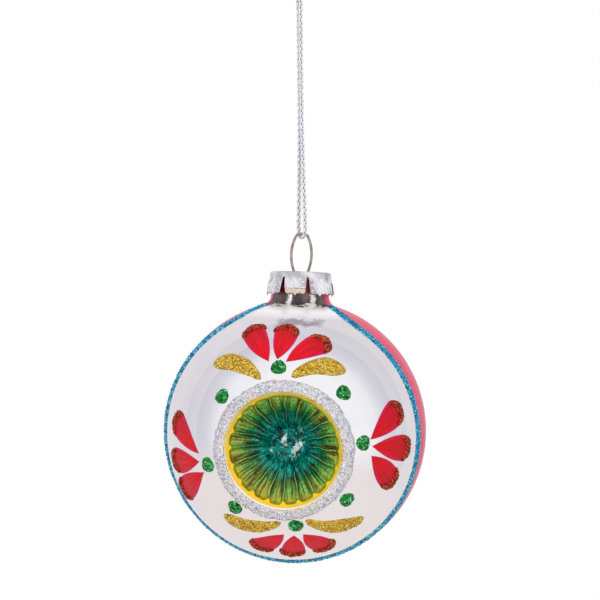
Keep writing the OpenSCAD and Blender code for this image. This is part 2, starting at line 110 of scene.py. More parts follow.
def tint(r, g, b):
    """A colour as it looks on screen, 0 to 255, for a shader's socket."""
    def straight(c):
        c /= 255
        return c / 12.92 if c <= 0.04045 else ((c + 0.055) / 1.055) ** 2.4
    return (straight(r), straight(g), straight(b), 1.0)


def into_scene(name, data):
    thing = bpy.data.objects.new(name, data)
    scene.collection.objects.link(thing)
    return thing


# Directions: up, and those of the ball's face
UP = Vector((0, 0, 1))
FACE_OUT = Vector((0, -cos(FACE_TILT), -sin(FACE_TILT)))
FACE_UP = Vector((0, -sin(FACE_TILT), cos(FACE_TILT)))
FACE_RIGHT = Vector((1, 0, 0))


def on_face(angle, turn):
    a, t = radians(angle), radians(turn)
    return cos(a) * FACE_OUT + sin(a) * (cos(t) * FACE_UP + sin(t) * FACE_RIGHT)


def standing(axis, toward):
    """Turns Z to an axis, with Y toward a second direction."""
    ez = axis.normalized()
    ex = toward.cross(ez).normalized()
    ey = ez.cross(ex)
    return Matrix((ex, ey, ez)).transposed()


FACING = standing(FACE_OUT, FACE_UP)

# Places of the painted marks: lengths from the ring, shares of the band up to the bead, turns on the face
RING_EDGE = degrees(asin((MOUTH_R + RING_W) / BALL_R))
BAND = BEAD_ANGLE - RING_EDGE
DOTS = {
    "top": (1.7, -5.3), "upper_right": (1.7, 44.7), "right": (0.6, 83.4), "lower_right": (0.9, 127.6),
    "bottom": (0.25, 170.6), "lower_left": (0.25, 218.6), "left": (0.65, 256.2), "upper_left": (1.4, 308.4),
}
PETALS = {
    "top": [((1.8, 348.1), (0.74, 340.2)), ((2.2, 353.7), (0.67, 358.9)), ((1.3, 359.5), (0.56, 20.5))],
    "right": [((0.9, 82), (0.67, 70.1)), ((1.3, 86.7), (0.735, 91.6)), ((1.1, 93), (0.585, 109.7))],
    "bottom": [((2.4, 167.4), (0.63, 157.6)), ((2.4, 173.4), (0.64, 177.4)), ((1.8, 179.8), (0.57, 196.6))],
    "left": [((1.5, 264.1), (0.68, 280.6)), ((1.8, 258.6), (0.74, 258.5)), ((0.9, 251.2), (0.76, 241.7))],
}
LEAVES = {
    "top_left": ((0.518, 316.4), (1.2, 340.8)), "top_right": ((0.333, 36.4), (1.1, 4.5)),
    "bottom_right": ((0.466, 132.9), (1.2, 162.3)), "bottom_left": ((0.306, 220), (1.1, 181.3)),
}


def from_ring(length, turn):
    return on_face(RING_EDGE + degrees(length / BALL_R), turn)


def in_band(share, turn):
    return on_face(RING_EDGE + share * BAND, turn)


# Camera, at the photograph's view
VIEW_SIDE = radians(5.65)
VIEW_RISE = radians(3)
VIEW_ROLL = radians(1.8)
VIEW_WIDE = radians(17.6)
VIEW_AWAY = 600
VIEW_AIM = 40.23


def set_camera():
    data = bpy.data.cameras.new("view")
    data.lens = data.sensor_width / 2 / tan(VIEW_WIDE / 2)
    data.clip_start, data.clip_end = 0.01, 50
    view = into_scene("view", data)
    level = cos(VIEW_RISE)
    out = Vector((sin(VIEW_SIDE) * level, -cos(VIEW_SIDE) * level, sin(VIEW_RISE)))
    stand = BALL_MID + VIEW_AWAY * out
    look = (BALL_MID + UP * VIEW_AIM - stand).to_track_quat("-Z", "Y")
    view.location = stand * MM
    view.rotation_mode = "QUATERNION"
    view.rotation_quaternion = look @ Quaternion(UP, VIEW_ROLL)
    scene.camera = view


set_camera()


# Materials: grain is in waves a metre, and a ramp's stops are a share and what it gives
class Nodes:
    """A node tree, with short ways to add nodes and join them."""

    def __init__(self, tree):
        self.nodes = tree.nodes
        self.links = tree.links

    def put(self, socket, value):
        """Joins an output to a socket, or sets the socket's own value."""
        if isinstance(value, bpy.types.NodeSocket):
            self.links.new(value, socket)
        else:
            socket.default_value = value

    def fill(self, node, *values, **settings):
        """Sets a node up: values go into its sockets in order, and names with a capital are sockets too."""
        for key, value in settings.items():
            if key[0].isupper():
                self.put(node.inputs[key.replace("_", " ")], value)
            else:
                setattr(node, key, value)
        for socket, value in zip(node.inputs, values):
            self.put(socket, value)
        return node

    def add(self, kind, *values, **settings):
        return self.fill(self.nodes.new("ShaderNode" + kind), *values, **settings)

    def ramp(self, fac, *stops):
        node = self.add("ValToRGB", fac)
        points = node.color_ramp.elements
        while len(points) < len(stops):
            points.new(0.5)
        for point, (at, colour) in zip(points, stops):
            point.position = at
            point.color = colour if isinstance(colour, tuple) else (colour, colour, colour, 1.0)
        return node.outputs["Color"]

    def math(self, operation, *values):
        return self.add("Math", *values, operation=operation).outputs["Value"]

    def times(self, a, b):
        return self.math("MULTIPLY", a, b)

    def scaled(self, value, factor, shift):
        return self.math("MULTIPLY_ADD", value, factor, shift)

    def mix(self, fac, a, b, blend="MIX"):
        node = self.add("Mix", fac, data_type="RGBA", blend_type=blend)
        self.put(node.inputs[6], a)
        self.put(node.inputs[7], b)
        return node.outputs[2]

    def vector(self, operation, *values, **named):
        node = self.add("VectorMath", *values, operation=operation, **named)
        return node.outputs["Value" if operation == "LENGTH" else "Vector"]

    def noise(self, vector, scale, detail, roughness):
        node = self.add("TexNoise", vector, Scale=scale, Detail=detail, Roughness=roughness)
        return node.outputs["Fac"]

    def split(self, vector):
        return self.add("SeparateXYZ", vector).outputs

    def either(self, fac, first, second):
        """A shader that is the first at 0 and the second at 1."""
        return self.add("MixShader", fac, first, second).outputs["Shader"]


class Finish(Nodes):
    """A material, its main shader and the places that its patterns follow."""

    def __init__(self, name, **sockets):
        self.material = bpy.data.materials.new(name)
        self.material.use_nodes = True
        super().__init__(self.material.node_tree)
        self.shader = self.fill(self.nodes["Principled BSDF"], **sockets)
        self.place = self.add("TexCoord").outputs["Object"]

    def set(self, **sockets):
        self.fill(self.shader, **sockets)

    def attribute(self, name):
        return self.add("Attribute", attribute_name=name).outputs["Fac"]

    def grain(self, scale, detail, roughness=0.55):
        return self.noise(self.place, scale, detail, roughness)

    def streak(self, uv_map, across, along, shift=0.0):
        """Noise drawn out along a piece's own length."""
        uv = self.add("UVMap", uv_map=uv_map).outputs["UV"]
        drawn = self.add("Mapping", uv, Location=(shift, shift, 0.0), Scale=(across, along, 1.0))
        return self.noise(drawn.outputs["Vector"], 1.0, 4.0, 0.6)

    def gloss(self, scale, detail, low, high):
        """Roughness that wanders between two values."""
        self.set(Roughness=self.ramp(self.grain(scale, detail), (0.3, low), (0.7, high)))

    def bump(self, height, strength, distance):
        node = self.add("Bump", Strength=strength, Distance=distance, Height=height)
        self.set(Normal=node.outputs["Normal"])


# Where the neck's finish changes: heights and widths from the ball's middle, and how far its edge is torn
NECK_FROM = 30.0
NECK_SPAN = 15.0
NECK_WIDE = 20.0
TORN_UP = 5.5
TORN_SIDE = 4.5


def silvered_glass():
    """Mirror silver, cloudy under the neck, brown round its front and painted dark red shade under the cap.
    """
    f = Finish("silvered_glass", Coat_Weight=0.3, Coat_Roughness=0.02)
    silver = f.ramp(f.grain(55, 2), (0.35, (0.87, 0.865, 0.89, 1)), (0.65, (0.93, 0.925, 0.94, 1)))
    x, _, z = f.split(f.place)
    ragged = f.math("SUBTRACT", f.grain(300, 4), 0.5)

    def up_neck(height):
        return f.scaled(height, 1 / (NECK_SPAN * MM), -(BALL_MID.z + NECK_FROM) / NECK_SPAN)
    plain = up_neck(z)
    torn = up_neck(f.scaled(ragged, TORN_UP * MM, z))
    shifted = f.scaled(ragged, TORN_SIDE * MM, x)
    side = f.scaled(shifted, 1 / (NECK_WIDE * MM), 0.5 - BALL_MID.x / NECK_WIDE)
    # Painted reflection: a faint grey smear on the shoulder, where the cap's dark underside would be mirrored
    painted_cap_reflection = f.times(f.ramp(torn, (0.13, 0), (0.17, 0.75), (0.25, 0.75), (0.29, 0)),
                    f.ramp(side, (0.25, 0), (0.34, 1), (0.88, 1), (1.0, 0)))
    silver = f.mix(painted_cap_reflection, silver, (0.34, 0.3, 0.35, 1))
    silver = f.mix(f.ramp(plain, (0.27, 0), (0.42, 1)), silver, tint(246, 241, 242))
    # Brown band round the neck's front, broken by two silver gaps, and dark red under the cap, which is
    # painted shade
    gaps = f.ramp(side, (0.32, 1), (0.36, 0.05), (0.395, 0.1), (0.42, 1),
                  (0.68, 1), (0.7, 0.2), (0.735, 0.05), (0.77, 1))
    under_cap = f.ramp(plain, (0.77, 0), (0.81, 1))
    patch_mask = f.times(f.ramp(torn, (0.55, 0), (0.57, 1)), f.math("MAXIMUM", gaps, under_cap))
    brown = f.ramp(f.grain(260, 3), (0.36, tint(48, 36, 36)), (0.64, tint(104, 90, 88)))
    brown_band_and_red_shade = f.mix(f.ramp(plain, (0.8, 0), (0.85, 1)), brown, tint(128, 8, 24))
    f.set(Base_Color=f.mix(patch_mask, silver, brown_band_and_red_shade))
    f.set(Metallic=f.ramp(plain, (0.27, 1), (0.42, 0.2)))
    f.set(Roughness=f.ramp(plain, (0.12, 0.05), (0.22, 0.2), (0.42, 0.3)))
    f.bump(f.grain(38, 2), 0.05, 0.0006)
    return f


def pink_lacquer():
    f = Finish("pink_lacquer", Specular_IOR_Level=0.18, Coat_Weight=0.16, Coat_Roughness=0.06)
    f.set(Base_Color=f.ramp(f.grain(45, 4), (0.3, tint(220, 42, 88)), (0.7, tint(230, 60, 102))))
    f.gloss(220, 3, 0.28, 0.4)
    f.bump(f.grain(160, 2), 0.06, 0.0003)
    return f


def glitter(name, dark, mid, light, flake, shade=0.42, metallic=0.5, specks=None):
    """Flakes of one colour, each with its own tone, gloss and tilt, with painted shade between flakes."""
    f = Finish(name, Metallic=metallic)
    cells = f.add("TexVoronoi", f.place, Scale=flake)
    parts = f.add("SeparateColor", cells.outputs["Color"])
    tone = f.ramp(parts.outputs["Red"], (0.0, dark), (0.28, mid), (0.68, mid), (0.9, light))
    if specks:
        hue = f.add("HueSaturation", Hue=parts.outputs["Blue"], Color=specks)
        tone = f.mix(f.math("GREATER_THAN", parts.outputs["Green"], 0.8), tone, hue.outputs["Color"])
    # Painted shade: each flake darker toward its edge, down to the shade value between flakes
    gap = f.ramp(cells.outputs["Distance"], (0.35, 1), (0.9, shade))
    f.set(Base_Color=f.mix(1.0, tone, gap, "MULTIPLY"))
    f.set(Roughness=f.ramp(parts.outputs["Blue"], (0.0, 0.14), (1.0, 0.45)))
    tilt = f.vector("SCALE", f.vector("SUBTRACT", cells.outputs["Color"], (0.5, 0.5, 0.5)), Scale=1.1)
    surface = f.add("NewGeometry").outputs["Normal"]
    f.set(Normal=f.vector("NORMALIZE", f.vector("ADD", surface, tilt)))
    return f


def crimson_paint():
    """Brushed paint, darker toward a petal's outer end and pink along its edge."""
    f = Finish("crimson_paint", Roughness=0.45, Specular_IOR_Level=0.2)
    stroke = f.streak("stroke", 12.0, 1.6)
    body = f.ramp(stroke, (0.3, tint(178, 2, 20)), (0.5, tint(210, 4, 26)), (0.74, tint(236, 12, 40)))
    body = f.mix(f.ramp(f.attribute("reach"), (0.4, 0), (0.9, 0.65)), body, tint(164, 2, 18))
    rim = f.ramp(f.attribute("edge"), (0.74, 0), (0.98, 1))
    f.set(Base_Color=f.mix(rim, body, tint(206, 18, 92)))
    f.bump(stroke, 0.15, 0.0002)
    return f


REFLECTOR_MARKS = ("span", "ridge", "vein", "tooth", "low", "bare")


def reflector_green():
    """Lacquer over silver, from teal in the well to olive and yellow at the lip; its light and shade are
    painted.
    """
    f = Finish("reflector_green", Specular_IOR_Level=0.2, Coat_Weight=0.12, Coat_Roughness=0.06)
    span, ridge, vein, tooth, low, bare = (f.attribute(name) for name in REFLECTOR_MARKS)

    def over(colour, mask, reach, top):
        return f.mix(f.times(mask, reach), colour, top)
    drift = f.math("SUBTRACT", f.grain(300, 4), 0.5)
    drawn = f.math("SUBTRACT", f.streak("dish", 2.6, 3.0), 0.5)
    moved = f.scaled(drawn, 0.36, f.scaled(drift, 0.3, span))
    moved = f.scaled(low, 0.05, moved)
    colour = f.ramp(
        moved, (0.0, tint(0, 124, 122)), (0.32, tint(0, 112, 108)), (0.54, tint(0, 134, 120)),
        (0.66, tint(0, 124, 80)), (0.72, tint(46, 142, 66)), (0.82, tint(114, 182, 84)),
        (0.93, tint(146, 196, 84)), (1.0, tint(196, 192, 46)))
    # Painted reflections in the well: dark teal patches, then lighter cyan ones
    sunk = f.ramp(f.grain(330, 2, 0.5), (0.41, 1), (0.49, 0))
    colour = over(colour, sunk, f.ramp(span, (0.1, 0.9), (0.56, 0.8), (0.7, 0)), tint(0, 42, 44))
    lit = f.ramp(f.streak("dish", 3.4, 4.2, 13.0), (0.48, 0), (0.57, 0.95))
    colour = over(colour, lit, f.ramp(span, (0.2, 1), (0.5, 1), (0.64, 0)), tint(14, 186, 174))
    olive = f.ramp(f.times(low, span), (0.45, 0), (0.95, 0.85))
    colour = over(colour, olive, f.ramp(f.grain(500, 3), (0.4, 0.1), (0.6, 1)), tint(196, 164, 24))
    fine = f.ramp(f.streak("dish", 7.0, 2.2, 9.0), (0.42, 0.95), (0.53, 0))
    along = f.ramp(span, (0.36, 0.3), (0.5, 0.9), (0.85, 0.8), (0.98, 0.2))
    colour = over(colour, fine, along, tint(12, 46, 20))
    scorch = f.streak("dish", 2.4, 1.5, 5.0)
    burnt = f.ramp(scorch, (0.55, 0), (0.6, 0.85))
    outer = f.ramp(span, (0.56, 0), (0.66, 1), (0.9, 1), (0.98, 0.3))
    colour = over(colour, burnt, outer, f.ramp(scorch, (0.57, tint(190, 112, 20)), (0.62, tint(66, 34, 6))))
    # Painted shade on the slopes beside each ridge, and a broken painted highlight along the ridge
    painted_flank_shade = f.ramp(ridge, (0.55, 0), (0.84, 0.55), (0.91, 0))
    colour = f.mix(painted_flank_shade, colour, tint(14, 50, 18))
    painted_ridge_highlight = f.ramp(f.streak("dish", 1.7, 1.4, 3.0), (0.38, 0.1), (0.6, 0.95))
    colour = over(colour, f.ramp(ridge, (0.91, 0), (0.97, 1)), painted_ridge_highlight, tint(160, 196, 128))
    faint = f.ramp(f.streak("dish", 1.3, 2.0, 21.0), (0.46, 0), (0.62, 0.7))
    colour = over(colour, vein, faint, tint(132, 180, 112))
    # Painted shadow: a dark olive line where the flutes end at the yellow
    edge = f.ramp(tooth, (0.25, 0), (0.42, 0.8), (0.55, 0))
    colour = over(colour, edge, f.ramp(f.grain(110, 2), (0.46, 0), (0.56, 1)), tint(46, 62, 18))
    yellow = f.ramp(tooth, (0.45, 0), (0.58, 1))
    colour = f.mix(yellow, colour, tint(255, 204, 10))
    # Painted reflection: near-black patches in the middle of the well
    painted_dark_reflection = f.ramp(f.grain(420, 3), (0.5, 0), (0.56, 0.9))
    colour = over(colour, painted_dark_reflection, f.ramp(span, (0.26, 1), (0.36, 0)), tint(34, 34, 30))
    # Painted highlights: light silver-cyan patches over the swells in the well
    silver = f.ramp(f.grain(700, 3), (0.36, tint(96, 196, 192)), (0.56, tint(232, 242, 240)))
    f.set(Base_Color=f.mix(bare, colour, silver))
    f.set(Metallic=f.times(f.ramp(span, (0.34, 0.75), (0.6, 0.4)), f.ramp(yellow, (0.0, 1), (1.0, 0.15))))
    f.set(Roughness=f.ramp(span, (0.3, 0.08), (0.6, 0.18)))
    f.bump(f.grain(1300, 3), 0.2, 0.0002)
    return f


def yellow_lacquer():
    """Yellow lacquer, with a painted cream highlight on the outside and a painted white highlight on the
    lower edge.
    """
    f = Finish("yellow_lacquer", Metallic=0.25, Coat_Weight=0.6, Coat_Roughness=0.05)
    outer, low = f.attribute("outer"), f.attribute("low")
    colour = f.ramp(f.grain(260, 3), (0.3, tint(248, 184, 6)), (0.55, tint(255, 204, 14)),
                    (0.8, tint(255, 216, 60)))
    # Painted highlight: cream over the outer part of the lip
    painted_cream_highlight = f.times(f.ramp(outer, (0.14, 0), (0.36, 1), (0.64, 1), (0.76, 0)),
                   f.ramp(f.grain(150, 3), (0.38, 0.1), (0.6, 1)))
    colour = f.mix(painted_cream_highlight, colour, tint(255, 228, 146))
    # Painted highlight: near white along the outer part of the lower edge
    patch_mask = f.times(f.ramp(low, (0.5, 0), (0.8, 1)),
                   f.ramp(outer, (0.34, 0), (0.44, 1), (0.66, 1), (0.76, 0)))
    f.set(Base_Color=f.mix(patch_mask, colour, tint(252, 248, 240)))
    f.gloss(400, 2, 0.1, 0.2)
    f.bump(f.grain(500, 2), 0.1, 0.0002)
    return f


def stamped_sheet():
    """Tinned sheet, grey in the fields, with painted highlights on the stamped lines and warmer on the bent
    hem.
    """
    f = Finish("stamped_sheet", Metallic=1.0)
    field = f.ramp(f.grain(160, 3), (0.38, (0.52, 0.52, 0.56, 1)), (0.62, (0.92, 0.92, 0.94, 1)))
    # Painted highlight: the stamped lines made near white
    painted_stamp_highlight = f.mix(f.attribute("raised"), field, (0.97, 0.97, 0.98, 1))
    f.set(Base_Color=f.mix(f.attribute("hem"), painted_stamp_highlight, tint(232, 214, 200)))
    f.gloss(300, 3, 0.16, 0.26)
    f.bump(f.grain(900, 2), 0.1, 0.0001)
    return f


def drawn_wire():
    f = Finish("drawn_wire", Metallic=1.0)
    f.set(Base_Color=f.ramp(f.grain(900, 4), (0.3, tint(134, 118, 108)), (0.7, tint(192, 178, 168))))
    f.gloss(1500, 2, 0.14, 0.28)
    f.bump(f.grain(4000, 2), 0.2, 0.00005)
    return f


def silver_thread():
    """Metal thread, with painted shade where the yarns of the plait sink in."""
    f = Finish("silver_thread", Metallic=0.25, Sheen_Weight=0.3, Sheen_Roughness=0.3)
    thread = f.ramp(f.grain(2600, 3), (0.3, tint(206, 204, 212)), (0.7, tint(250, 249, 252)))
    # Painted shade: darker toward the middle of the plait
    sunk = f.ramp(f.attribute("lay"), (0.3, 1), (0.62, 0))
    f.set(Base_Color=f.mix(sunk, thread, tint(112, 106, 122)))
    f.gloss(1900, 2, 0.3, 0.5)
    f.bump(f.grain(6000, 2), 0.12, 0.0001)
    return f


SILVERED = silvered_glass()
PINK = pink_lacquer()
GREEN = reflector_green()
YELLOW = yellow_lacquer()
CRIMSON = crimson_paint()
SHEET = stamped_sheet()
WIRE = drawn_wire()
THREAD = silver_thread()
SILVER = glitter("silver_glitter", tint(176, 176, 188), tint(226, 226, 233), tint(252, 252, 255),
                 flake=2600, shade=0.62, metallic=0.3, specks=tint(255, 190, 200))
TURQUOISE = glitter("turquoise_glitter", tint(0, 66, 122), tint(2, 160, 208), tint(140, 232, 248), flake=2200)
EMERALD = glitter("emerald_glitter", tint(0, 40, 12), tint(4, 148, 58), tint(140, 244, 165), flake=2000)
COPPER = glitter("copper_glitter", tint(100, 14, 10), tint(174, 44, 28), tint(240, 118, 58), flake=2300)
GOLD = glitter("gold_glitter", tint(168, 112, 8), tint(226, 180, 34), tint(255, 240, 140),
               flake=2300, shade=0.55)


# Shared ways of making a piece: a grain of glitter is a width and how far it pushes the surface out
FINE_GRAIN = (0.42, 0.34)
COARSE_GRAIN = (0.45, 0.4)
TIP_GRAIN = (0.45, 0.42)
GRAIN_STEEP = 1.6
GRAIN_REST = 0.4
GRAIN_SHIFT = (17.3, 5.1, 9.7)


def add_piece(name, bm, finish, slot, *stands_for, body="ball", sharp=None):
    """Makes a piece of a bmesh in millimetres, with edges sharper than an angle kept."""
    ops.recalc_face_normals(bm, faces=bm.faces)
    ops.scale(bm, vec=(MM, MM, MM), verts=bm.verts)
    mesh = bpy.data.meshes.new(name)
    bm.to_mesh(mesh)
    bm.free()
    mesh.shade_smooth()
    if sharp:
        mesh.set_sharp_from_angle(angle=radians(sharp))
    mesh.materials.append(finish.material)
    piece = into_scene(name, mesh)
    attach(piece, body)
    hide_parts(*stands_for)
    return piece


def weld(bm, distance):
    ops.remove_doubles(bm, verts=bm.verts, dist=distance)


def turned(points, steps, closed=False):
    """A profile of distance and height, spun round Z."""
    bm = bmesh.new()
    verts = [bm.verts.new((r, 0, z)) for r, z in points]
    edges = [bm.edges.new(pair) for pair in zip(verts, verts[1:])]
    if closed:
        edges.append(bm.edges.new((verts[-1], verts[0])))
    ops.spin(bm, geom=verts + edges, axis=UP, angle=tau, steps=steps, use_merge=True)
    weld(bm, 0.001)
    return bm


def tubes(routes, radius, resolution):
    """Round tubes along routes, as one mesh."""
    curve = bpy.data.curves.new("route", "CURVE")
    curve.dimensions = "3D"
    curve.bevel_depth = radius
    curve.bevel_resolution = resolution
    curve.use_fill_caps = True
    for route in routes:
        line = curve.splines.new("POLY")
        line.points.add(len(route) - 1)
        for point, place in zip(line.points, route):
            point.co = (*place, 1)
    holder = into_scene("route", curve)
    bpy.context.view_layer.update()
    mesh = bpy.data.meshes.new_from_object(holder.evaluated_get(bpy.context.evaluated_depsgraph_get()))
    bpy.data.objects.remove(holder)
    bpy.data.curves.remove(curve)
    bm = bmesh.new()
    bm.from_mesh(mesh)
    bpy.data.meshes.remove(mesh)
    weld(bm, 0.0005)
    return bm


def add_mesh(bm, other):
    """Moves a second bmesh into the first."""
    mesh = bpy.data.meshes.new("moved")
    other.to_mesh(mesh)
    other.free()
    bm.from_mesh(mesh)
    bpy.data.meshes.remove(mesh)


def cut(bm, place, across, geom=None, clear=False):
    """Cuts a mesh, or a part of it, along a plane."""
    ops.bisect_plane(bm, geom=geom or bm.verts[:] + bm.edges[:] + bm.faces[:], plane_co=place,
                     plane_no=across, dist=0.0001, clear_outer=clear)


def grain_height(place, size):
    """How high a grain of glitter stands at a place, from 0 between grains to 1."""
    near = voronoi(place / size)[0]
    return min(1.0, GRAIN_STEEP * (near[1] - near[0]))


def roughen(bm, grain, seed):
    """Pushes grains of glitter out of what stands proud of the glass."""
    size, height = grain
    bm.normal_update()
    shift = Vector([seed * share for share in GRAIN_SHIFT])
    moves = []
    for v in bm.verts:
        proud = ease(0.02, 0.2, (v.co - BALL_MID).length - BALL_R)
        moves.append((v, v.normal * (height * proud * (grain_height(v.co + shift, size) - GRAIN_REST))))
    for v, move in moves:
        v.co += move


def marks(bm, *names):
    """Adds values to the places of a mesh, which its material knows by name."""
    return [bm.verts.layers.float.new(name) for name in names]


def close_back(bm):
    ops.holes_fill(bm, edges=[e for e in bm.edges if e.is_boundary], sides=0)


def to_ball(bm, matrix=None):
    if matrix is not None:
        ops.transform(bm, matrix=matrix.to_4x4(), verts=bm.verts)
    ops.translate(bm, vec=BALL_MID, verts=bm.verts)


def round_z(place):
    """Distance from Z and the turn round it."""
    return hypot(place.x, place.y), atan2(place.y, place.x)


# Cord: half of the loop, as distances from its middle and heights
STRAND = [(0, BIGHT_Z), (1.3, -77.352), (2.252, -76.4), (2.6, -75.1), (2.5, -72), (2.1, -66), (1.7, -60),
          (1.35, -54), (1.05, -48), (0.85, -42), (0.76, -36), (0.76, -28), (0.76, -20), (0.78, -12),
          (0.85, -6), (1.35, -2.5), (1.8, 0), (1.5, 2), (0.8, KNOT_Z)]
LOOP = [(-d, z) for d, z in reversed(STRAND[1:])] + STRAND
LOOP_OUT = Vector((sin(CORD_TURN), -cos(CORD_TURN), 0))
LOOP_SIDE = Vector((cos(CORD_TURN), sin(CORD_TURN), 0))
ROUTE_STEP = 0.2
ROUTE_CUTS = 40
YARNS = 3
YARN_R = 0.3
YARN_REACH = 0.42
PLAIT_FLAT = 0.55
PLAIT_PITCH = 6.0
KNOT_UP = 1.25
KNOT_CUTS = 120
KNOT_OUT, KNOT_SIDE, KNOT_HIGH = 0.43, 0.3, 0.62
KNOT_YARN_R = 0.52
TAIL_LEAN = radians(14)
TAIL_APART = 0.68
TAIL_SWAY = 0.1


def cord_axis(z):
    """The middle between the strands, which leans to the ball's side."""
    return Vector((CORD_SIDE * z / BIGHT_Z, 0, z))


def curve_through(points, step):
    """A smooth line through points, with places an even step apart."""
    fine = []
    for i in range(len(points) - 1):
        p0, p1 = points[max(0, i - 1)], points[i]
        p2, p3 = points[i + 1], points[min(len(points) - 1, i + 2)]
        a, b, c = (p1 - p0).length ** 0.5, (p2 - p1).length ** 0.5, (p3 - p2).length ** 0.5
        m1 = p2 - p1 if a == 0 else (p1 - p0) / a * b + (p2 - p1) - (p2 - p0) / (a + b) * b
        m2 = p2 - p1 if c == 0 else (p2 - p1) + (p3 - p2) / c * b - (p3 - p1) / (b + c) * b
        for k in range(ROUTE_CUTS):
            t = k / ROUTE_CUTS
            fine.append((2 * t ** 3 - 3 * t ** 2 + 1) * p1 + (t ** 3 - 2 * t ** 2 + t) * m1
                        + (3 * t ** 2 - 2 * t ** 3) * p2 + (t ** 3 - t ** 2) * m2)
    fine.append(points[-1])
    line, left = [fine[0]], step
    for p, q in zip(fine, fine[1:]):
        run = (q - p).length
        at = 0.0
        while run - at >= left:
            at += left
            line.append(p.lerp(q, at / run))
            left = step
        left -= run - at
    if (line[-1] - fine[-1]).length > step / 3:
        line.append(fine[-1])
    return line


def mark_lay(bm, line):
    """Notes how far out of the plait each place lies, from 0 at its middle to 1."""
    [lay] = marks(bm, "lay")
    tree = KDTree(len(line))
    for i, p in enumerate(line):
        tree.insert(p, i)
    tree.balance()
    for v in bm.verts:
        v[lay] = min(1.0, tree.find(v.co)[2] / (CORD_D / 2))


def plaited(line, across):
    """Yarns plaited along a line, wide across one direction."""
    routes = []
    for k in range(YARNS):
        route, run = [], 0.0
        for i, p in enumerate(line):
            if i:
                run += (p - line[i - 1]).length
            ahead = (line[min(i + 1, len(line) - 1)] - line[max(i - 1, 0)]).normalized()
            side = (across - across.dot(ahead) * ahead).normalized()
            up = ahead.cross(side)
            turn = tau * (run / PLAIT_PITCH + k / YARNS)
            route.append(p + side * (YARN_REACH * sin(turn)) + up * (PLAIT_FLAT * YARN_REACH * sin(2 * turn)))
        routes.append(route)
    bm = tubes(routes, YARN_R, 1)
    mark_lay(bm, line)
    return bm


def make_cord():
    line = curve_through([d * LOOP_OUT + cord_axis(z) for d, z in LOOP], ROUTE_STEP)
    strands = add_piece("cord_strands", plaited(line, LOOP_SIDE), THREAD, "cord", "cord", body="cord")
    return strands, line


def make_knot():
    mid = cord_axis(KNOT_Z) + UP * KNOT_UP
    wrap = []
    for i in range(KNOT_CUTS + 1):
        t = tau * i / KNOT_CUTS
        x, y, z = sin(t) + 2 * sin(2 * t), cos(t) - 2 * cos(2 * t), -sin(3 * t)
        wrap.append(mid + LOOP_OUT * (KNOT_OUT * x) + LOOP_SIDE * (KNOT_SIDE * y) + UP * (KNOT_HIGH * z))
    bm = tubes([wrap], KNOT_YARN_R, 2)
    mark_lay(bm, [mid])
    for way in (-1, 1):
        lean = TAIL_LEAN * way
        tail = [mid + LOOP_SIDE * (way * TAIL_APART + sin(lean) * s + way * TAIL_SWAY * sin(0.5 * s))
                + UP * (cos(lean) * s) for s in [ROUTE_STEP * k for k in range(43)]]
        add_mesh(bm, plaited(tail, LOOP_OUT))
    return add_piece("cord_knot_tied", bm, THREAD, "cord", "cord_knot", body="cord")


cord_strands, cord_line = make_cord()
cord_knot_tied = make_knot()
sum((q - p).length for p, q in zip(cord_line, cord_line[1:])) * MM
[p * MM for p in cord_line]


# Glass
FLARE_PLAN = NECK_R + FLARE_R
FLARE_UP = sqrt((BALL_R + FLARE_R) ** 2 - FLARE_PLAN ** 2)
FOOT_SHARE = BALL_R / (BALL_R + FLARE_R)
BALL_STEPS = 256
NECK_CUTS = 8
MOUTH_WALL = 3


def bow(x, z, r, start, end, n):
    """Places along an arc, in n steps."""
    return [(x + r * cos(start + (end - start) * i / n), z + r * sin(start + (end - start) * i / n))
            for i in range(n + 1)]


def glass_outside(grow, top):
    """The outside from the lowest point up to a height on the neck."""
    foot = asin(FLARE_UP * FOOT_SHARE / BALL_R)
    points = [(0, -BALL_R - grow)] + bow(0, 0, BALL_R + grow, -pi / 2, foot, 120)[1:]
    lean = atan2(-FLARE_UP, -FLARE_PLAN)
    points += bow(FLARE_PLAN, FLARE_UP, FLARE_R - grow, lean, -pi, 14)[1:]
    points += [(NECK_R + grow, FLARE_UP + (top - FLARE_UP) * i / NECK_CUTS) for i in range(1, NECK_CUTS + 1)]
    return points


def make_glass():
    inner_r, bore, lip_r = BALL_R - GLASS_WALL, NECK_R - GLASS_WALL, GLASS_WALL / 2
    top = acos(bore / inner_r)
    rim = bow(NECK_R - lip_r, NECK_TOP - lip_r, lip_r, 0, pi, 8)[1:]
    inside = bow(0, 0, inner_r, top, -pi / 2, 60)[:-1] + [(0, -inner_r)]
    bm = turned(glass_outside(0, NECK_TOP - lip_r) + rim + inside, BALL_STEPS)
    cut(bm, FACE_OUT * MOUTH_UP, FACE_OUT, clear=True)
    inner = set()
    for f in bm.faces:
        mid = f.calc_center_median()
        if mid.length < BALL_R - GLASS_WALL / 2 and mid.dot(FACE_OUT) > BALL_R / 2:
            inner.update([f, *f.edges, *f.verts])
    cut(bm, FACE_OUT * (MOUTH_UP - MOUTH_WALL), FACE_OUT, list(inner), clear=True)
    ops.bridge_loops(bm, edges=[e for e in bm.edges if e.is_boundary])
    to_ball(bm)
    add_piece("silvered_ball", bm, SILVERED, "glass", "glass_ball", "silver_lining", sharp=50)


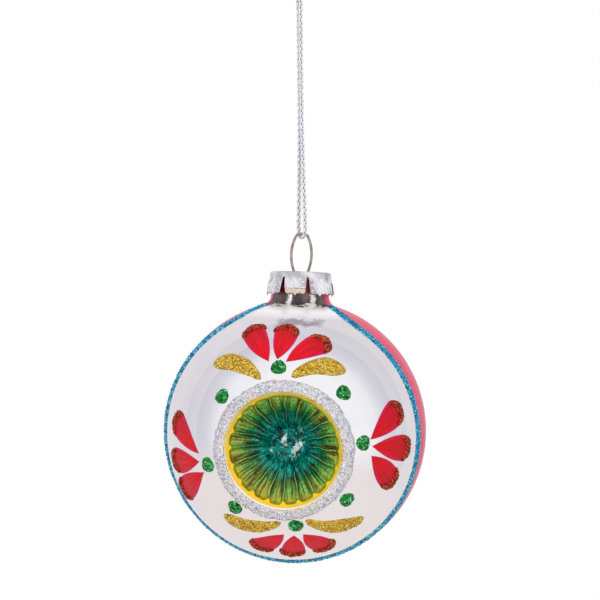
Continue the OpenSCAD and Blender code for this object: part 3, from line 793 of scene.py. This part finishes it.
# Bead between the face and the back: a tube sunk in the glass, so that a low, wide bead stands out
BEAD_SPREAD = 3.0
BEAD_H = 0.72
BEAD_ROUND = ((BEAD_SPREAD / 2) ** 2 + BEAD_H ** 2) / (2 * BEAD_H)
BEAD_STAND = BALL_R + BEAD_H - BEAD_ROUND
BEAD_OUT = Vector((-sin(BEAD_TURN) * cos(BEAD_TILT), -cos(BEAD_TURN) * cos(BEAD_TILT), -sin(BEAD_TILT)))
BEAD_UP = (FACE_UP - FACE_UP.dot(BEAD_OUT) * BEAD_OUT).normalized()
BEAD_RIGHT = BEAD_UP.cross(BEAD_OUT)
END_PLAN = FLARE_PLAN * FOOT_SHARE + BEAD_W / 4
BEAD_OPEN = radians(BEAD_ANGLE)
BEAD_CUTS, END_CUTS = 700, 60
BEAD_RUN_ON = 0.4


def bead_side(side):
    """Where the bead leaves its circle, where it ends at the neck, and the axis and turn between."""
    start = (cos(BEAD_OPEN) * BEAD_OUT
             + sin(BEAD_OPEN) * (cos(BEAD_LEAVE) * BEAD_UP + side * sin(BEAD_LEAVE) * BEAD_RIGHT))
    end = Vector((side * END_PLAN * sin(END_TURN), -END_PLAN * cos(END_TURN),
                  sqrt(BALL_R ** 2 - END_PLAN ** 2))).normalized()
    axis = (start * (BEAD_OUT.dot(end - start) / start.dot(end - start)) - BEAD_OUT).normalized()
    ex = (start - start.dot(axis) * axis).normalized()
    return start, end, axis, atan2(end.dot(axis.cross(ex)), end.dot(ex))


BEAD_SIDES = {side: bead_side(side) for side in (-1, 1)}


def swing(place, axis, angle):
    return Quaternion(axis, angle) @ place


def bead_route():
    left, _, left_axis, left_turn = BEAD_SIDES[-1]
    right, _, right_axis, right_turn = BEAD_SIDES[1]
    route = [swing(right, right_axis, right_turn * (1 - i / END_CUTS)) for i in range(END_CUTS)]
    whole = tau - 2 * BEAD_LEAVE
    way = 1 if (swing(right, BEAD_OUT, whole) - left).length < 0.01 else -1
    route += [swing(right, BEAD_OUT, way * whole * i / BEAD_CUTS) for i in range(BEAD_CUTS)]
    route += [swing(left, left_axis, left_turn * i / END_CUTS) for i in range(END_CUTS + 1)]
    return [BEAD_STAND * p for p in route]


def make_bead():
    route = bead_route()
    first = route[0] + (route[0] - route[1]).normalized() * BEAD_RUN_ON
    last = route[-1] + (route[-1] - route[-2]).normalized() * BEAD_RUN_ON
    bm = tubes([[first] + route + [last]], BEAD_ROUND, 8)
    to_ball(bm)
    roughen(bm, FINE_GRAIN, 1)
    add_piece("turquoise_bead", bm, TURQUOISE, "turquoise_glitter", "rim_bead")


# Pink back
PINK_OUT = 0.12
PINK_THICK = 0.08


def is_pink(p):
    """Whether a place, seen from the ball's middle, lies behind the bead."""
    if p.z > 0 and hypot(p.x, p.y) < END_PLAN:
        return atan2(abs(p.x), -p.y) > END_TURN
    d = p.normalized()
    if d.dot(BEAD_OUT) > cos(BEAD_OPEN):
        return False
    start, end, axis, _ = BEAD_SIDES[1 if d.x > 0 else -1]
    if d.z > 0 and d.y < end.y and abs(d.x) < abs(start.x):
        return d.dot(axis) > axis.dot(start)
    return True


def make_pink_back():
    bm = turned(glass_outside(PINK_OUT, NECK_TOP - CAP_H / 2), BALL_STEPS)
    cut(bm, BALL_R * BEAD_SIDES[1][0], BEAD_OUT)
    for side, (start, _, axis, _) in BEAD_SIDES.items():
        cut(bm, BALL_R * start, axis)
        edge = Vector((side * sin(END_TURN), -cos(END_TURN), 0))
        cut(bm, Vector(), edge.cross(UP))
    ops.delete(bm, geom=[f for f in bm.faces if not is_pink(f.calc_center_median())], context="FACES")
    ops.recalc_face_normals(bm, faces=bm.faces)
    ops.solidify(bm, geom=bm.faces[:], thickness=PINK_THICK)
    to_ball(bm)
    add_piece("pink_back", bm, PINK, "pink_lacquer", "back_lacquer", sharp=60)


# Reflector: the dish as distances and depths, swells as a middle, a lean, half a width and half a length
DISH = [(0, -WELL_DEPTH), (3.2, -WELL_DEPTH + 0.2), (FLOOR_R, -11.6), (WELL_R, -FLUTE_DEPTH),
        (FLUTE_R, -LIP_DEPTH), (MOUTH_R, -1.0)]
DISH_ROWS = 72
DISH_BACK = 1.35
DISH_BACK_LEAN = 0.3
FLUTE_CUTS = 22
FLUTE_END = 16.35
FLUTE_DIP = 0.95
FLUTE_UNEVEN = 0.3
FLUTE_WANDER = 0.04
CHEVRON = 0.05
VEIN_WIDE = 0.16
LOW_TURN = radians(28)
HAMMERED = 0.1
SWELLS = [((-0.9, 1.2), 0.0, 1.6, 2.4), ((3.1, -0.6), 0.6, 1.4, 2.8)]
# Painted highlights in the well: a share, then a middle, a lean, half a width and half a length
PAINTED_HIGHLIGHT_PATCHES = [(1.0, (-0.8, 0.9), 0.1, 1.0, 2.4), (1.0, (3.0, -0.9), 0.6, 1.1, 3.4),
                (0.7, (4.0, 5.0), -0.3, 0.8, 2.4), (0.6, (-4.6, -2.4), -0.6, 0.6, 1.8)]


def flute_shape(r, turn):
    """Depth of the flutes at a place, how near it is to a ridge, a vein and the lip, and how low."""
    wander = turn + FLUTE_WANDER * noise(Vector((0.35 * r, 2.2 * cos(turn), 2.2 * sin(turn))))
    lot = (wander * FLUTES / tau) % FLUTES
    x = abs(2 * (lot % 1.0) - 1)
    uneven = noise(Vector((int(lot) * 3.7, 0.5, 0.5)))
    low = 0.5 - 0.5 * cos(turn - LOW_TURN)
    end = FLUTE_END - (1.1 + 0.9 * uneven) * low * max(0.0, (x - 0.5) / 0.5) ** 1.3 + FLUTE_UNEVEN * uneven
    rim = 1 - ease(end - 0.7, end, r)
    inner = ease(4.8, 10.5, r)
    chevron = CHEVRON * sin(tau * (0.8 * r - 0.9 * x))
    depth = ((FLUTE_DIP + FLUTE_UNEVEN * uneven) * (1 - x ** 1.6) + chevron) * rim * inner
    ridge = x * rim * ease(6.0, 8.0, r)
    vein = max(0.0, 1 - x / VEIN_WIDE) * rim * ease(7.0, 10.0, r)
    tooth = ease(end - 0.5, end + 0.2, r)
    return depth, ridge, vein, tooth, low


def mound(place, middle, lean, half_wide, half_long):
    """A smooth swell in the well, 1 at its middle."""
    d = place.xy - Vector(middle)
    across = d.x * cos(lean) - d.y * sin(lean)
    along = d.x * sin(lean) + d.y * cos(lean)
    return exp(-(across / half_wide) ** 2 - (along / half_long) ** 2)


def heart_shape(place, r):
    """Height of the swells and folds in the well, and where its painted highlights lie."""
    turn = Vector((noise(place * 0.23), noise(place * 0.23 + Vector((9, 4, 2))), 0))
    fold = noise(place * 0.3 + turn * 1.4 + Vector((3.1, 7.7, 0)))
    crease = 1 - abs(noise(place * 0.42 - turn))
    ragged = 0.5 * noise(place * 1.3) + 0.35 * noise(place * 3.1)
    swell = sum(mound(place, *spot) for spot in SWELLS)
    height = (0.9 * swell + 0.45 * fold + 0.4 * crease ** 3) * (1 - ease(5.2, 7.6, r))
    bare = max(share * mound(place, *spot) for share, *spot in PAINTED_HIGHLIGHT_PATCHES)
    return height, 0.9 * ease(0.45, 0.7, bare + 1.3 * ragged) * (1 - ease(6.4, 7.4, r))


def spread_dish(bm):
    """Lays the reflector out by flutes round it and by distance."""
    dish = bm.loops.layers.uv.new("dish")
    for f in bm.faces:
        mid = f.calc_center_median()
        middle = atan2(mid.x, mid.y)
        for loop in f.loops:
            place = loop.vert.co
            r = hypot(place.x, place.y)
            turn = atan2(place.x, place.y) if r > 0.01 else middle
            turn += tau * round((middle - turn) / tau)
            loop[dish].uv = (turn * FLUTES / tau, r / FLUTE_R)


def make_reflector():
    front = [(FLUTE_R * (1 - i / DISH_ROWS), 1.0) for i in range(DISH_ROWS)] + [(0, 1.0)]
    back = [(0, -1.0), (FLOOR_R, -1.0), (WELL_R, -1.0), (FLUTE_R - 0.02, -1.0)]
    bm = turned(front + back, FLUTES * FLUTE_CUTS, closed=True)
    spread_dish(bm)
    span, ridge, vein, tooth, low, bare = marks(bm, *REFLECTOR_MARKS)
    for v in bm.verts:
        r, turn = hypot(v.co.x, v.co.y), atan2(v.co.x, v.co.y)
        v[span] = r / FLUTE_R
        if v.co.z > 0:
            depth, v[ridge], v[vein], v[tooth], v[low] = flute_shape(r, turn)
            height, v[bare] = heart_shape(v.co, r)
            dents = noise(v.co * 0.7) + 0.6 * noise(v.co * 1.9)
            hammered = HAMMERED * dents * (1 - ease(15.5, 16.6, r))
            v.co.z = MOUTH_UP + between(DISH, r) - depth + hammered + height
        else:
            v.co.z = MOUTH_UP + min(between(DISH, r), between(DISH, r + DISH_BACK_LEAN)) - DISH_BACK
    to_ball(bm, FACING)
    add_piece("reflector_flutes", bm, GREEN, "green_lacquer", "reflector_lacquer")


LIP = [(16.4, -1.35), (16.7, -1.05), (17.0, -0.66), (17.3, -0.3), (17.6, 0.0), (17.85, 0.02), (17.85, -0.25),
       (17.2, -0.8), (16.6, -1.55)]
LIP_IN, LIP_OUT = LIP[0][0], LIP[5][0]
LIP_WAVE = 0.06


def make_lip():
    bm = turned([(r, MOUTH_UP + z) for r, z in LIP], 240, closed=True)
    outer, low = marks(bm, "outer", "low")
    for v in bm.verts:
        r, turn = round_z(v.co)
        v[outer] = (r - LIP_IN) / (LIP_OUT - LIP_IN)
        v[low] = 0.5 - 0.5 * sin(turn)
        v.co.z += LIP_WAVE * noise(Vector((3 * cos(turn), 3 * sin(turn), 0.4)))
    to_ball(bm, FACING)
    add_piece("yellow_lip", bm, YELLOW, "yellow_lacquer", "lip_lacquer", sharp=40)


# Glitter on the face
RING_CUTS = 14
RING_LAP = 0.1
RING_SINK = 0.25
RING_RAGGED = 0.014
DOT_SINK = 0.08
DOT_UNDER = 0.12
DOT_GROW = 0.1
DOT_WOBBLE = 0.05


def make_ring():
    low, high = asin((MOUTH_R - RING_LAP) / BALL_R), asin((MOUTH_R + RING_W) / BALL_R)
    top = []
    for i in range(RING_CUTS + 1):
        t = i / RING_CUTS
        a, h = low + (high - low) * t, GLITTER_H * (1 - abs(2 * t - 1) ** 2.6)
        top.append(((BALL_R + h) * sin(a), (BALL_R + h) * cos(a)))
    sunk = BALL_R - RING_SINK
    under = [(sunk * sin(a), sunk * cos(a)) for a in (high, (low + high) / 2, low)]
    bm = turned(top + under, 520, closed=True)
    for v in bm.verts:
        r = hypot(v.co.x, v.co.y)
        ragged = 1 + RING_RAGGED * noise(v.co * 0.6) * ease(MOUTH_R + 0.4, MOUTH_R + RING_W, r)
        v.co.x *= ragged
        v.co.y *= ragged
    to_ball(bm, FACING)
    roughen(bm, COARSE_GRAIN, 2)
    add_piece("silver_ring", bm, SILVER, "silver_glitter", "ring_glitter")


def make_dot(name, gap, turn, seed):
    bm = bmesh.new()
    ops.create_uvsphere(bm, u_segments=48, v_segments=32, radius=DOT_D / 2)
    for v in bm.verts:
        v.co.z *= (DOT_H + DOT_GROW) / (DOT_D / 2) if v.co.z > 0 else DOT_UNDER
        wobble = 1 + DOT_WOBBLE * sin(3 * atan2(v.co.y, v.co.x) + seed)
        v.co.x *= wobble
        v.co.y *= wobble
    ops.translate(bm, vec=(0, 0, BALL_R - DOT_SINK), verts=bm.verts)
    to_ball(bm, standing(from_ring(gap + DOT_D / 2, turn), FACE_UP))
    roughen(bm, FINE_GRAIN, seed)
    add_piece("glitter_dot_" + name, bm, EMERALD, "green_glitter", "dot_" + name)


# Petals and leaves lie on the ball along a line between two places
PETAL_BEND = 0.35
PETAL_UNDER_TIP = 0.5
PAINT_LOW, PAINT_HIGH = 0.06, 0.1
TIP_LEAN = 12
TIP_SPAN = radians(104)
TIP_WIDE, TIP_WIDER = 1.7, 1.1
TIP_OVER = 0.15
TIP_WAVE = 0.12
LEAF_GROW = 1.05
LEAF_BLUNT = 0.06
EDGE_WAVE = 0.05


def laid_on_ball(start, end, across, along):
    """A grid for a mark between two places, the way to lay it on the ball, and its length."""
    bm = bmesh.new()
    ops.create_grid(bm, x_segments=across, y_segments=along, size=1)
    turn = standing((start + end).normalized(), end - start)

    def lay(x, y, h):
        z = sqrt(BALL_R ** 2 - x * x - y * y)
        return BALL_MID + (turn @ Vector((x, y, z))) * ((BALL_R + h) / BALL_R)
    return bm, lay, BALL_R * (end - start).length


def make_petal(name, start, end, seed):
    bm, lay, length = laid_on_ball(start, end, 28, 72)
    bend = random.Random(seed).uniform(-PETAL_BEND, PETAL_BEND)
    r = PETAL_W / 2
    shoulder = length - r
    side_arc = (r * r + shoulder * shoulder) / PETAL_W
    stroke = bm.loops.layers.uv.new("stroke")
    edge, reach = marks(bm, "edge", "reach")
    spread = {}
    for v in bm.verts:
        t, s = v.co.x, (v.co.y + 1) / 2
        y = (length - PETAL_UNDER_TIP) * s
        if y < shoulder:
            half = sqrt(side_arc ** 2 - (y - shoulder) ** 2) - (side_arc - r)
        else:
            half = sqrt(max(0.0, r * r - (y - shoulder) ** 2))
        half = max(0.02, half * (1 + EDGE_WAVE * sin(5 * s + seed)))
        v[edge] = max(abs(t), 1 - 4.5 * s)
        v[reach] = s
        spread[v] = (0.5 * (t + 1), s + seed)
        h = PAINT_LOW + PAINT_HIGH * (1 - abs(t) ** 6)
        v.co = lay(t * half + bend * sin(pi * s), y - length / 2, h)
    for f in bm.faces:
        for loop in f.loops:
            loop[stroke].uv = spread[loop.vert]
    weld(bm, 0.005)
    close_back(bm)
    add_piece("petal_paint_" + name, bm, CRIMSON, "red_paint", "petal_" + name, sharp=60)


def make_tip(name, start, end, seed):
    """The rounded band of glitter that wraps a petal's outer end."""
    bm, lay, length = laid_on_ball(start, end, 64, 16)
    lean = radians(random.Random(seed + 50).uniform(-TIP_LEAN, TIP_LEAN))
    r = PETAL_W / 2
    shoulder = length - r
    for v in bm.verts:
        u, t = v.co.x, v.co.y
        a = TIP_SPAN * u
        wide = max(0.1, (TIP_WIDE + TIP_WIDER * cos(a)) * (1 - abs(u) ** 10))
        reach = r + TIP_OVER - wide / 2 + t * wide / 2 + TIP_WAVE * sin(9 * u + seed)
        h = 0.05 + (GLITTER_H + 0.15) * (1 - abs(t) ** 3) * (1 - abs(u) ** 12)
        v.co = lay(reach * sin(a + lean), shoulder - length / 2 + reach * cos(a + lean), h)
    close_back(bm)
    roughen(bm, TIP_GRAIN, seed)
    add_piece("petal_glitter_" + name, bm, COPPER, "copper_glitter", "petal_tip_" + name)


def make_leaf(name, fat, tail, seed):
    bm, lay, length = laid_on_ball(fat, tail, 26, 80)
    away = -1 if (tail - fat).cross(fat + tail).dot(FACE_OUT) > 0 else 1
    for v in bm.verts:
        t, s = v.co.x, (v.co.y + 1) / 2
        if s < LEAF_FAT_AT:
            half = LEAF_W / 2 * (1 - (1 - LEAF_TAIL_SHARE) * (1 - s / LEAF_FAT_AT) ** 1.6)
        else:
            half = LEAF_W / 2 * sqrt(max(0.0, 1 - ((s - LEAF_FAT_AT) / (1 - LEAF_FAT_AT)) ** 2))
        wave = 1 + EDGE_WAVE * sin(11 * s + 2 * seed)
        half = max(0.05, LEAF_GROW * half * min(1.0, (s / LEAF_BLUNT) ** 0.5) * wave)
        h = 0.04 + GLITTER_H * (1 - abs(t) ** 3) * min(1.0, s * 14, (1 - s) * 14)
        v.co = lay(away * (LEAF_BOW * (1 - (2 * s - 1) ** 2) + t * half), length * (0.5 - s), h)
    weld(bm, 0.005)
    close_back(bm)
    roughen(bm, COARSE_GRAIN, seed)
    add_piece("glitter_leaf_" + name, bm, GOLD, "gold_glitter", "leaf_" + name)


# Cap: its teeth as shares of a flap's width and drops, its studs as places across and down a flap
TEETH = [(-1.0, 0), (-0.75, 0.4), (-0.5, 0), (-0.35, 0.4), (-0.25, 0), (0, TOOTH_H), (0.25, 0), (0.35, 0.4),
         (0.5, 0), (0.75, 0.4), (1.0, 0)]
STUDS = [(1.5, 0.8), (2.4, 1.7), (1.5, 2.6), (2.4, 3.5), (1.5, 4.4), (-2.6, 1.0), (-2.7, 2.6), (-2.6, 4.2)]
STUD_R = 0.42
STAMP_AT = (-0.6, 2.6)
STAMP_HALF = (1.5, 2.0)
STAMP_RING_R = 0.62
STAMP_H = 0.2
FLAP_SWAY = 0.2
FLAP_BOW = 0.1
FLAP_FLAT = 0.972
SLIT_HALF, SLIT_WIDEN = 0.25, 0.65
HEM_AT = 5.2
HEM_IN, HEM_LEAN = 0.25, 0.34
CROWN = [(CAP_HOLE_R, 0.0), (3.0, 0.06), (3.4, 0.06), (3.7, 0.0), (5.5, 0.0), (7.5, 0.0)]
CROWN_WAVE = 0.1
CRIMPS = 64
CRIMP_SHARE = 0.004
SHEET_THICK = 0.22


def stamp(x, y):
    """Height of the stamped pattern at a place across and down a flap."""
    def raised(distance, width):
        return max(0.0, 1 - (distance / width) ** 2)
    dx, dy = x - STAMP_AT[0], y - STAMP_AT[1]
    diamond = 1.2 * abs(abs(dx) / STAMP_HALF[0] + abs(dy) / STAMP_HALF[1] - 1)
    circle = abs(hypot(dx, dy) - STAMP_RING_R)
    h = max(raised(diamond, 0.24), raised(circle, 0.26))
    for cx, cy in STUDS:
        h = max(h, raised(hypot(x - cx, y - cy), STUD_R))
    return h


def add_flap(bm, hem, raised, number):
    """One flap: a flat, stamped facet with a toothed edge, bent under at the front."""
    middle = FLAP_TURN + tau * number / FLAPS
    lean = FLAP_LEAN + FLAP_SWAY * sin(2.4 * number)
    for v in ops.create_grid(bm, x_segments=60, y_segments=60, size=1)["verts"]:
        u, s = v.co.x, (1 - v.co.y) / 2
        deep = FLAP_START + s * (CAP_H - TOOTH_H + between(TEETH, u) - FLAP_START)
        share = (deep - FLAP_START) / (CAP_H - FLAP_START)
        r = CAP_R + lean * share
        turn = u * (pi / FLAPS - (SLIT_HALF + SLIT_WIDEN * share) / r)
        flat = ease(0.0, 0.35, share)
        r *= 1 + flat * (FLAP_FLAT / cos(turn) - 1)
        v[raised] = stamp(turn * r, deep - FLAP_START) * (1 - abs(u) ** 12)
        r += STAMP_H * v[raised]
        r += FLAP_BOW * flat * abs(turn * r - STAMP_AT[0]) * (1 if number % 2 else -1)
        if number == 0 and deep > HEM_AT:
            v[hem] = ease(HEM_AT, HEM_AT + 0.15, deep)
            r -= HEM_IN + HEM_LEAN * (deep - HEM_AT)
        v.co = (r * sin(middle + turn), -r * cos(middle + turn), -deep)


def make_cap():
    rounded = bow(CAP_R - CAP_ROUND, -CAP_ROUND, CAP_ROUND, pi / 2, 0, 6)
    wall = [(CAP_R, -0.9), (CAP_R, -1.2), (CAP_R, -FLAP_START - 0.1)]
    bm = turned(CROWN + rounded + wall, 192)
    hem, raised = marks(bm, "hem", "raised")
    for v in bm.verts:
        r, turn = round_z(v.co)
        wave = noise(Vector((4 * cos(turn), 4 * sin(turn), 0.3)))
        v.co.z += CROWN_WAVE * wave * ease(7.5, 8.8, r)
        crimp = 1 + CRIMP_SHARE * sin(CRIMPS * turn) * ease(0.55, 0.9, -v.co.z)
        v.co.x *= crimp
        v.co.y *= crimp
    for number in range(FLAPS):
        add_flap(bm, hem, raised, number)
    weld(bm, 0.0005)
    ops.recalc_face_normals(bm, faces=bm.faces)
    ops.translate(bm, vec=(BALL_MID.x, 0, CAP_TOP), verts=bm.verts)
    ops.solidify(bm, geom=bm.faces[:], thickness=SHEET_THICK)
    add_piece("stamped_cap", bm, SHEET, "cap_metal", "cap", body="cap", sharp=50)


# Wire hanger
EYE_HALF, EYE_TOP, PIN, BEND = 3.15, 11.875, 0.5, 1.5
BELLY = 5.5
LEG_GAP, LEG_BEND, LEG_LEAN, LEG = 2.1, 4.0, radians(14), 17.0
LEG_CUTS = 12


def wire_route():
    inset, drop = EYE_HALF - PIN, EYE_TOP - BELLY - BEND
    side_r = (inset ** 2 + drop ** 2 - BEND ** 2) / (2 * (inset - BEND))
    side_a = atan2(drop, side_r - inset)
    belly_r = (BELLY ** 2 + (EYE_HALF - LEG_GAP) ** 2) / (2 * (EYE_HALF - LEG_GAP))
    belly_a = asin(BELLY / belly_r)
    half = [(0, EYE_TOP)]
    half += bow(PIN, EYE_TOP - BEND, BEND, pi / 2, side_a, 14)
    half += bow(EYE_HALF - side_r, BELLY, side_r, side_a, 0, 20)[1:]
    half += bow(EYE_HALF - belly_r, BELLY, belly_r, 0, -belly_a, 20)[1:]
    half += bow(LEG_GAP + LEG_BEND * cos(belly_a), -LEG_BEND * sin(belly_a), LEG_BEND,
                pi - belly_a, pi + LEG_LEAN, 12)[1:]
    x, z = half[-1]
    half += [(x + sin(LEG_LEAN) * LEG * i / LEG_CUTS, z - cos(LEG_LEAN) * LEG * i / LEG_CUTS)
             for i in range(1, LEG_CUTS + 1)]
    whole = [(-x, z) for x, z in reversed(half[1:])] + half
    return [Vector((BALL_MID.x + x, 0, CAP_TOP + z)) for x, z in whole]


def make_wire():
    bm = tubes([wire_route()], WIRE_R, 3)
    add_piece("bent_wire", bm, WIRE, "wire", "hanger_wire", body="hanger", sharp=50)


make_glass()
make_bead()
make_pink_back()
make_reflector()
make_lip()
make_ring()
for n, (name, (gap, turn)) in enumerate(DOTS.items()):
    make_dot(name, gap, turn, n + 3)
for g, (group, petals) in enumerate(PETALS.items()):
    for k, (foot, tip) in enumerate(petals):
        petal_name = "%s_%d" % (group, k + 1)
        foot_at, tip_at = from_ring(DOT_D + foot[0], foot[1]), in_band(*tip)
        make_petal(petal_name, foot_at, tip_at, 3 * g + k + 1)
        make_tip(petal_name, foot_at, tip_at, 3 * g + k + 1)
for n, (name, (fat, tail)) in enumerate(LEAVES.items()):
    make_leaf(name, in_band(*fat), from_ring(*tail), n + 21)
make_cap()
make_wire()


# Studio: lamps by name, with place, size, power and colour
FLOOR_Z = -0.42
FLOOR_HALF = 6
WORLD_LIGHT = 0.62
LAMPS = [
    ("key", (-0.42, -0.82, 0.3), (0.5, 0.5), 3.2, (1.0, 0.985, 0.97)),
    ("fill", (0.45, -0.75, 0.1), (0.4, 0.5), 1.9, (0.97, 0.98, 1.0)),
    ("top", (0.1, 0.25, 0.7), (0.6, 0.5), 2.2, (1.0, 1.0, 1.0)),
]
WHITE = (1.0, 1.0, 1.0, 1.0)


def mirrored_ray(n, path):
    return n.math("MAXIMUM", path["Is Glossy Ray"], path["Is Transmission Ray"])


def make_floor():
    """A pale floor, plain white far off, with the object's shadow near it."""
    bm = bmesh.new()
    ops.create_grid(bm, x_segments=1, y_segments=1, size=FLOOR_HALF)
    ops.translate(bm, vec=(0, 0, FLOOR_Z), verts=bm.verts)
    mesh = bpy.data.meshes.new("floor")
    bm.to_mesh(mesh)
    bm.free()
    f = Finish("floor_white", Base_Color=(0.92, 0.91, 0.91, 1), Roughness=0.9)
    path = f.add("LightPath").outputs
    white = f.add("Emission", Color=WHITE, Strength=1.0).outputs["Emission"]
    clear = f.add("BsdfTransparent").outputs["BSDF"]
    far = f.ramp(f.times(f.vector("LENGTH", f.place), 0.25), (0.12, 0.7), (0.36, 1.0))
    plain = f.either(f.times(path["Is Camera Ray"], far), f.shader.outputs["BSDF"], white)
    f.put(f.nodes["Material Output"].inputs["Surface"], f.either(mirrored_ray(f, path), plain, clear))
    mesh.materials.append(f.material)
    floor = into_scene("floor", mesh)


def make_lamp(name, place, size, power, colour):
    """A soft lamp toward the ball, which the mirror doesn't show."""
    data = bpy.data.lights.new(name, "AREA")
    data.shape = "RECTANGLE"
    data.size, data.size_y = size
    data.energy = power
    data.color = colour
    lamp = into_scene(name, data)
    lamp.location = place
    lamp.rotation_mode = "QUATERNION"
    lamp.rotation_quaternion = (BALL_MID * MM - Vector(place)).to_track_quat("-Z", "Y")
    lamp.visible_glossy = False


def make_world():
    """Even white light, and the pale panels of a tent for what mirrors it."""
    world = bpy.data.worlds.new("studio")
    world.use_nodes = True
    scene.world = world
    n = Nodes(world.node_tree)
    n.nodes.clear()
    x, y, z = n.split(n.add("TexCoord").outputs["Generated"])
    back = n.scaled(y, 0.5, 0.5)
    rise = n.scaled(z, 0.5, 0.5)
    slant = n.scaled(z, 0.02, n.scaled(x, -0.05, back))
    tent = n.ramp(
        slant, (0.0, (0.98, 0.97, 0.97, 1)), (0.24, (0.99, 0.985, 0.985, 1)), (0.36, (0.93, 0.92, 0.95, 1)),
        (0.46, (0.74, 0.73, 0.79, 1)), (0.56, (0.67, 0.66, 0.72, 1)), (0.57, (0.75, 0.73, 0.77, 1)),
        (0.7, (0.72, 0.7, 0.74, 1)), (0.71, (0.79, 0.76, 0.79, 1)), (1.0, (0.8, 0.77, 0.8, 1)))
    tent = n.mix(n.ramp(rise, (0.22, 1.0), (0.44, 0.0)), tent, (0.86, 0.79, 0.775, 1.0))

    def background(colour, strength):
        return n.add("Background", colour, strength).outputs["Background"]
    path = n.add("LightPath").outputs
    seen = n.either(mirrored_ray(n, path), background(WHITE, WORLD_LIGHT), background(tent, 1.0))
    seen = n.either(path["Is Camera Ray"], seen, background(WHITE, 1.0))
    n.put(n.add("OutputWorld").inputs["Surface"], seen)


make_floor()
make_world()
for lamp in LAMPS:
    make_lamp(*lamp)

scene.view_settings.view_transform = "Standard"
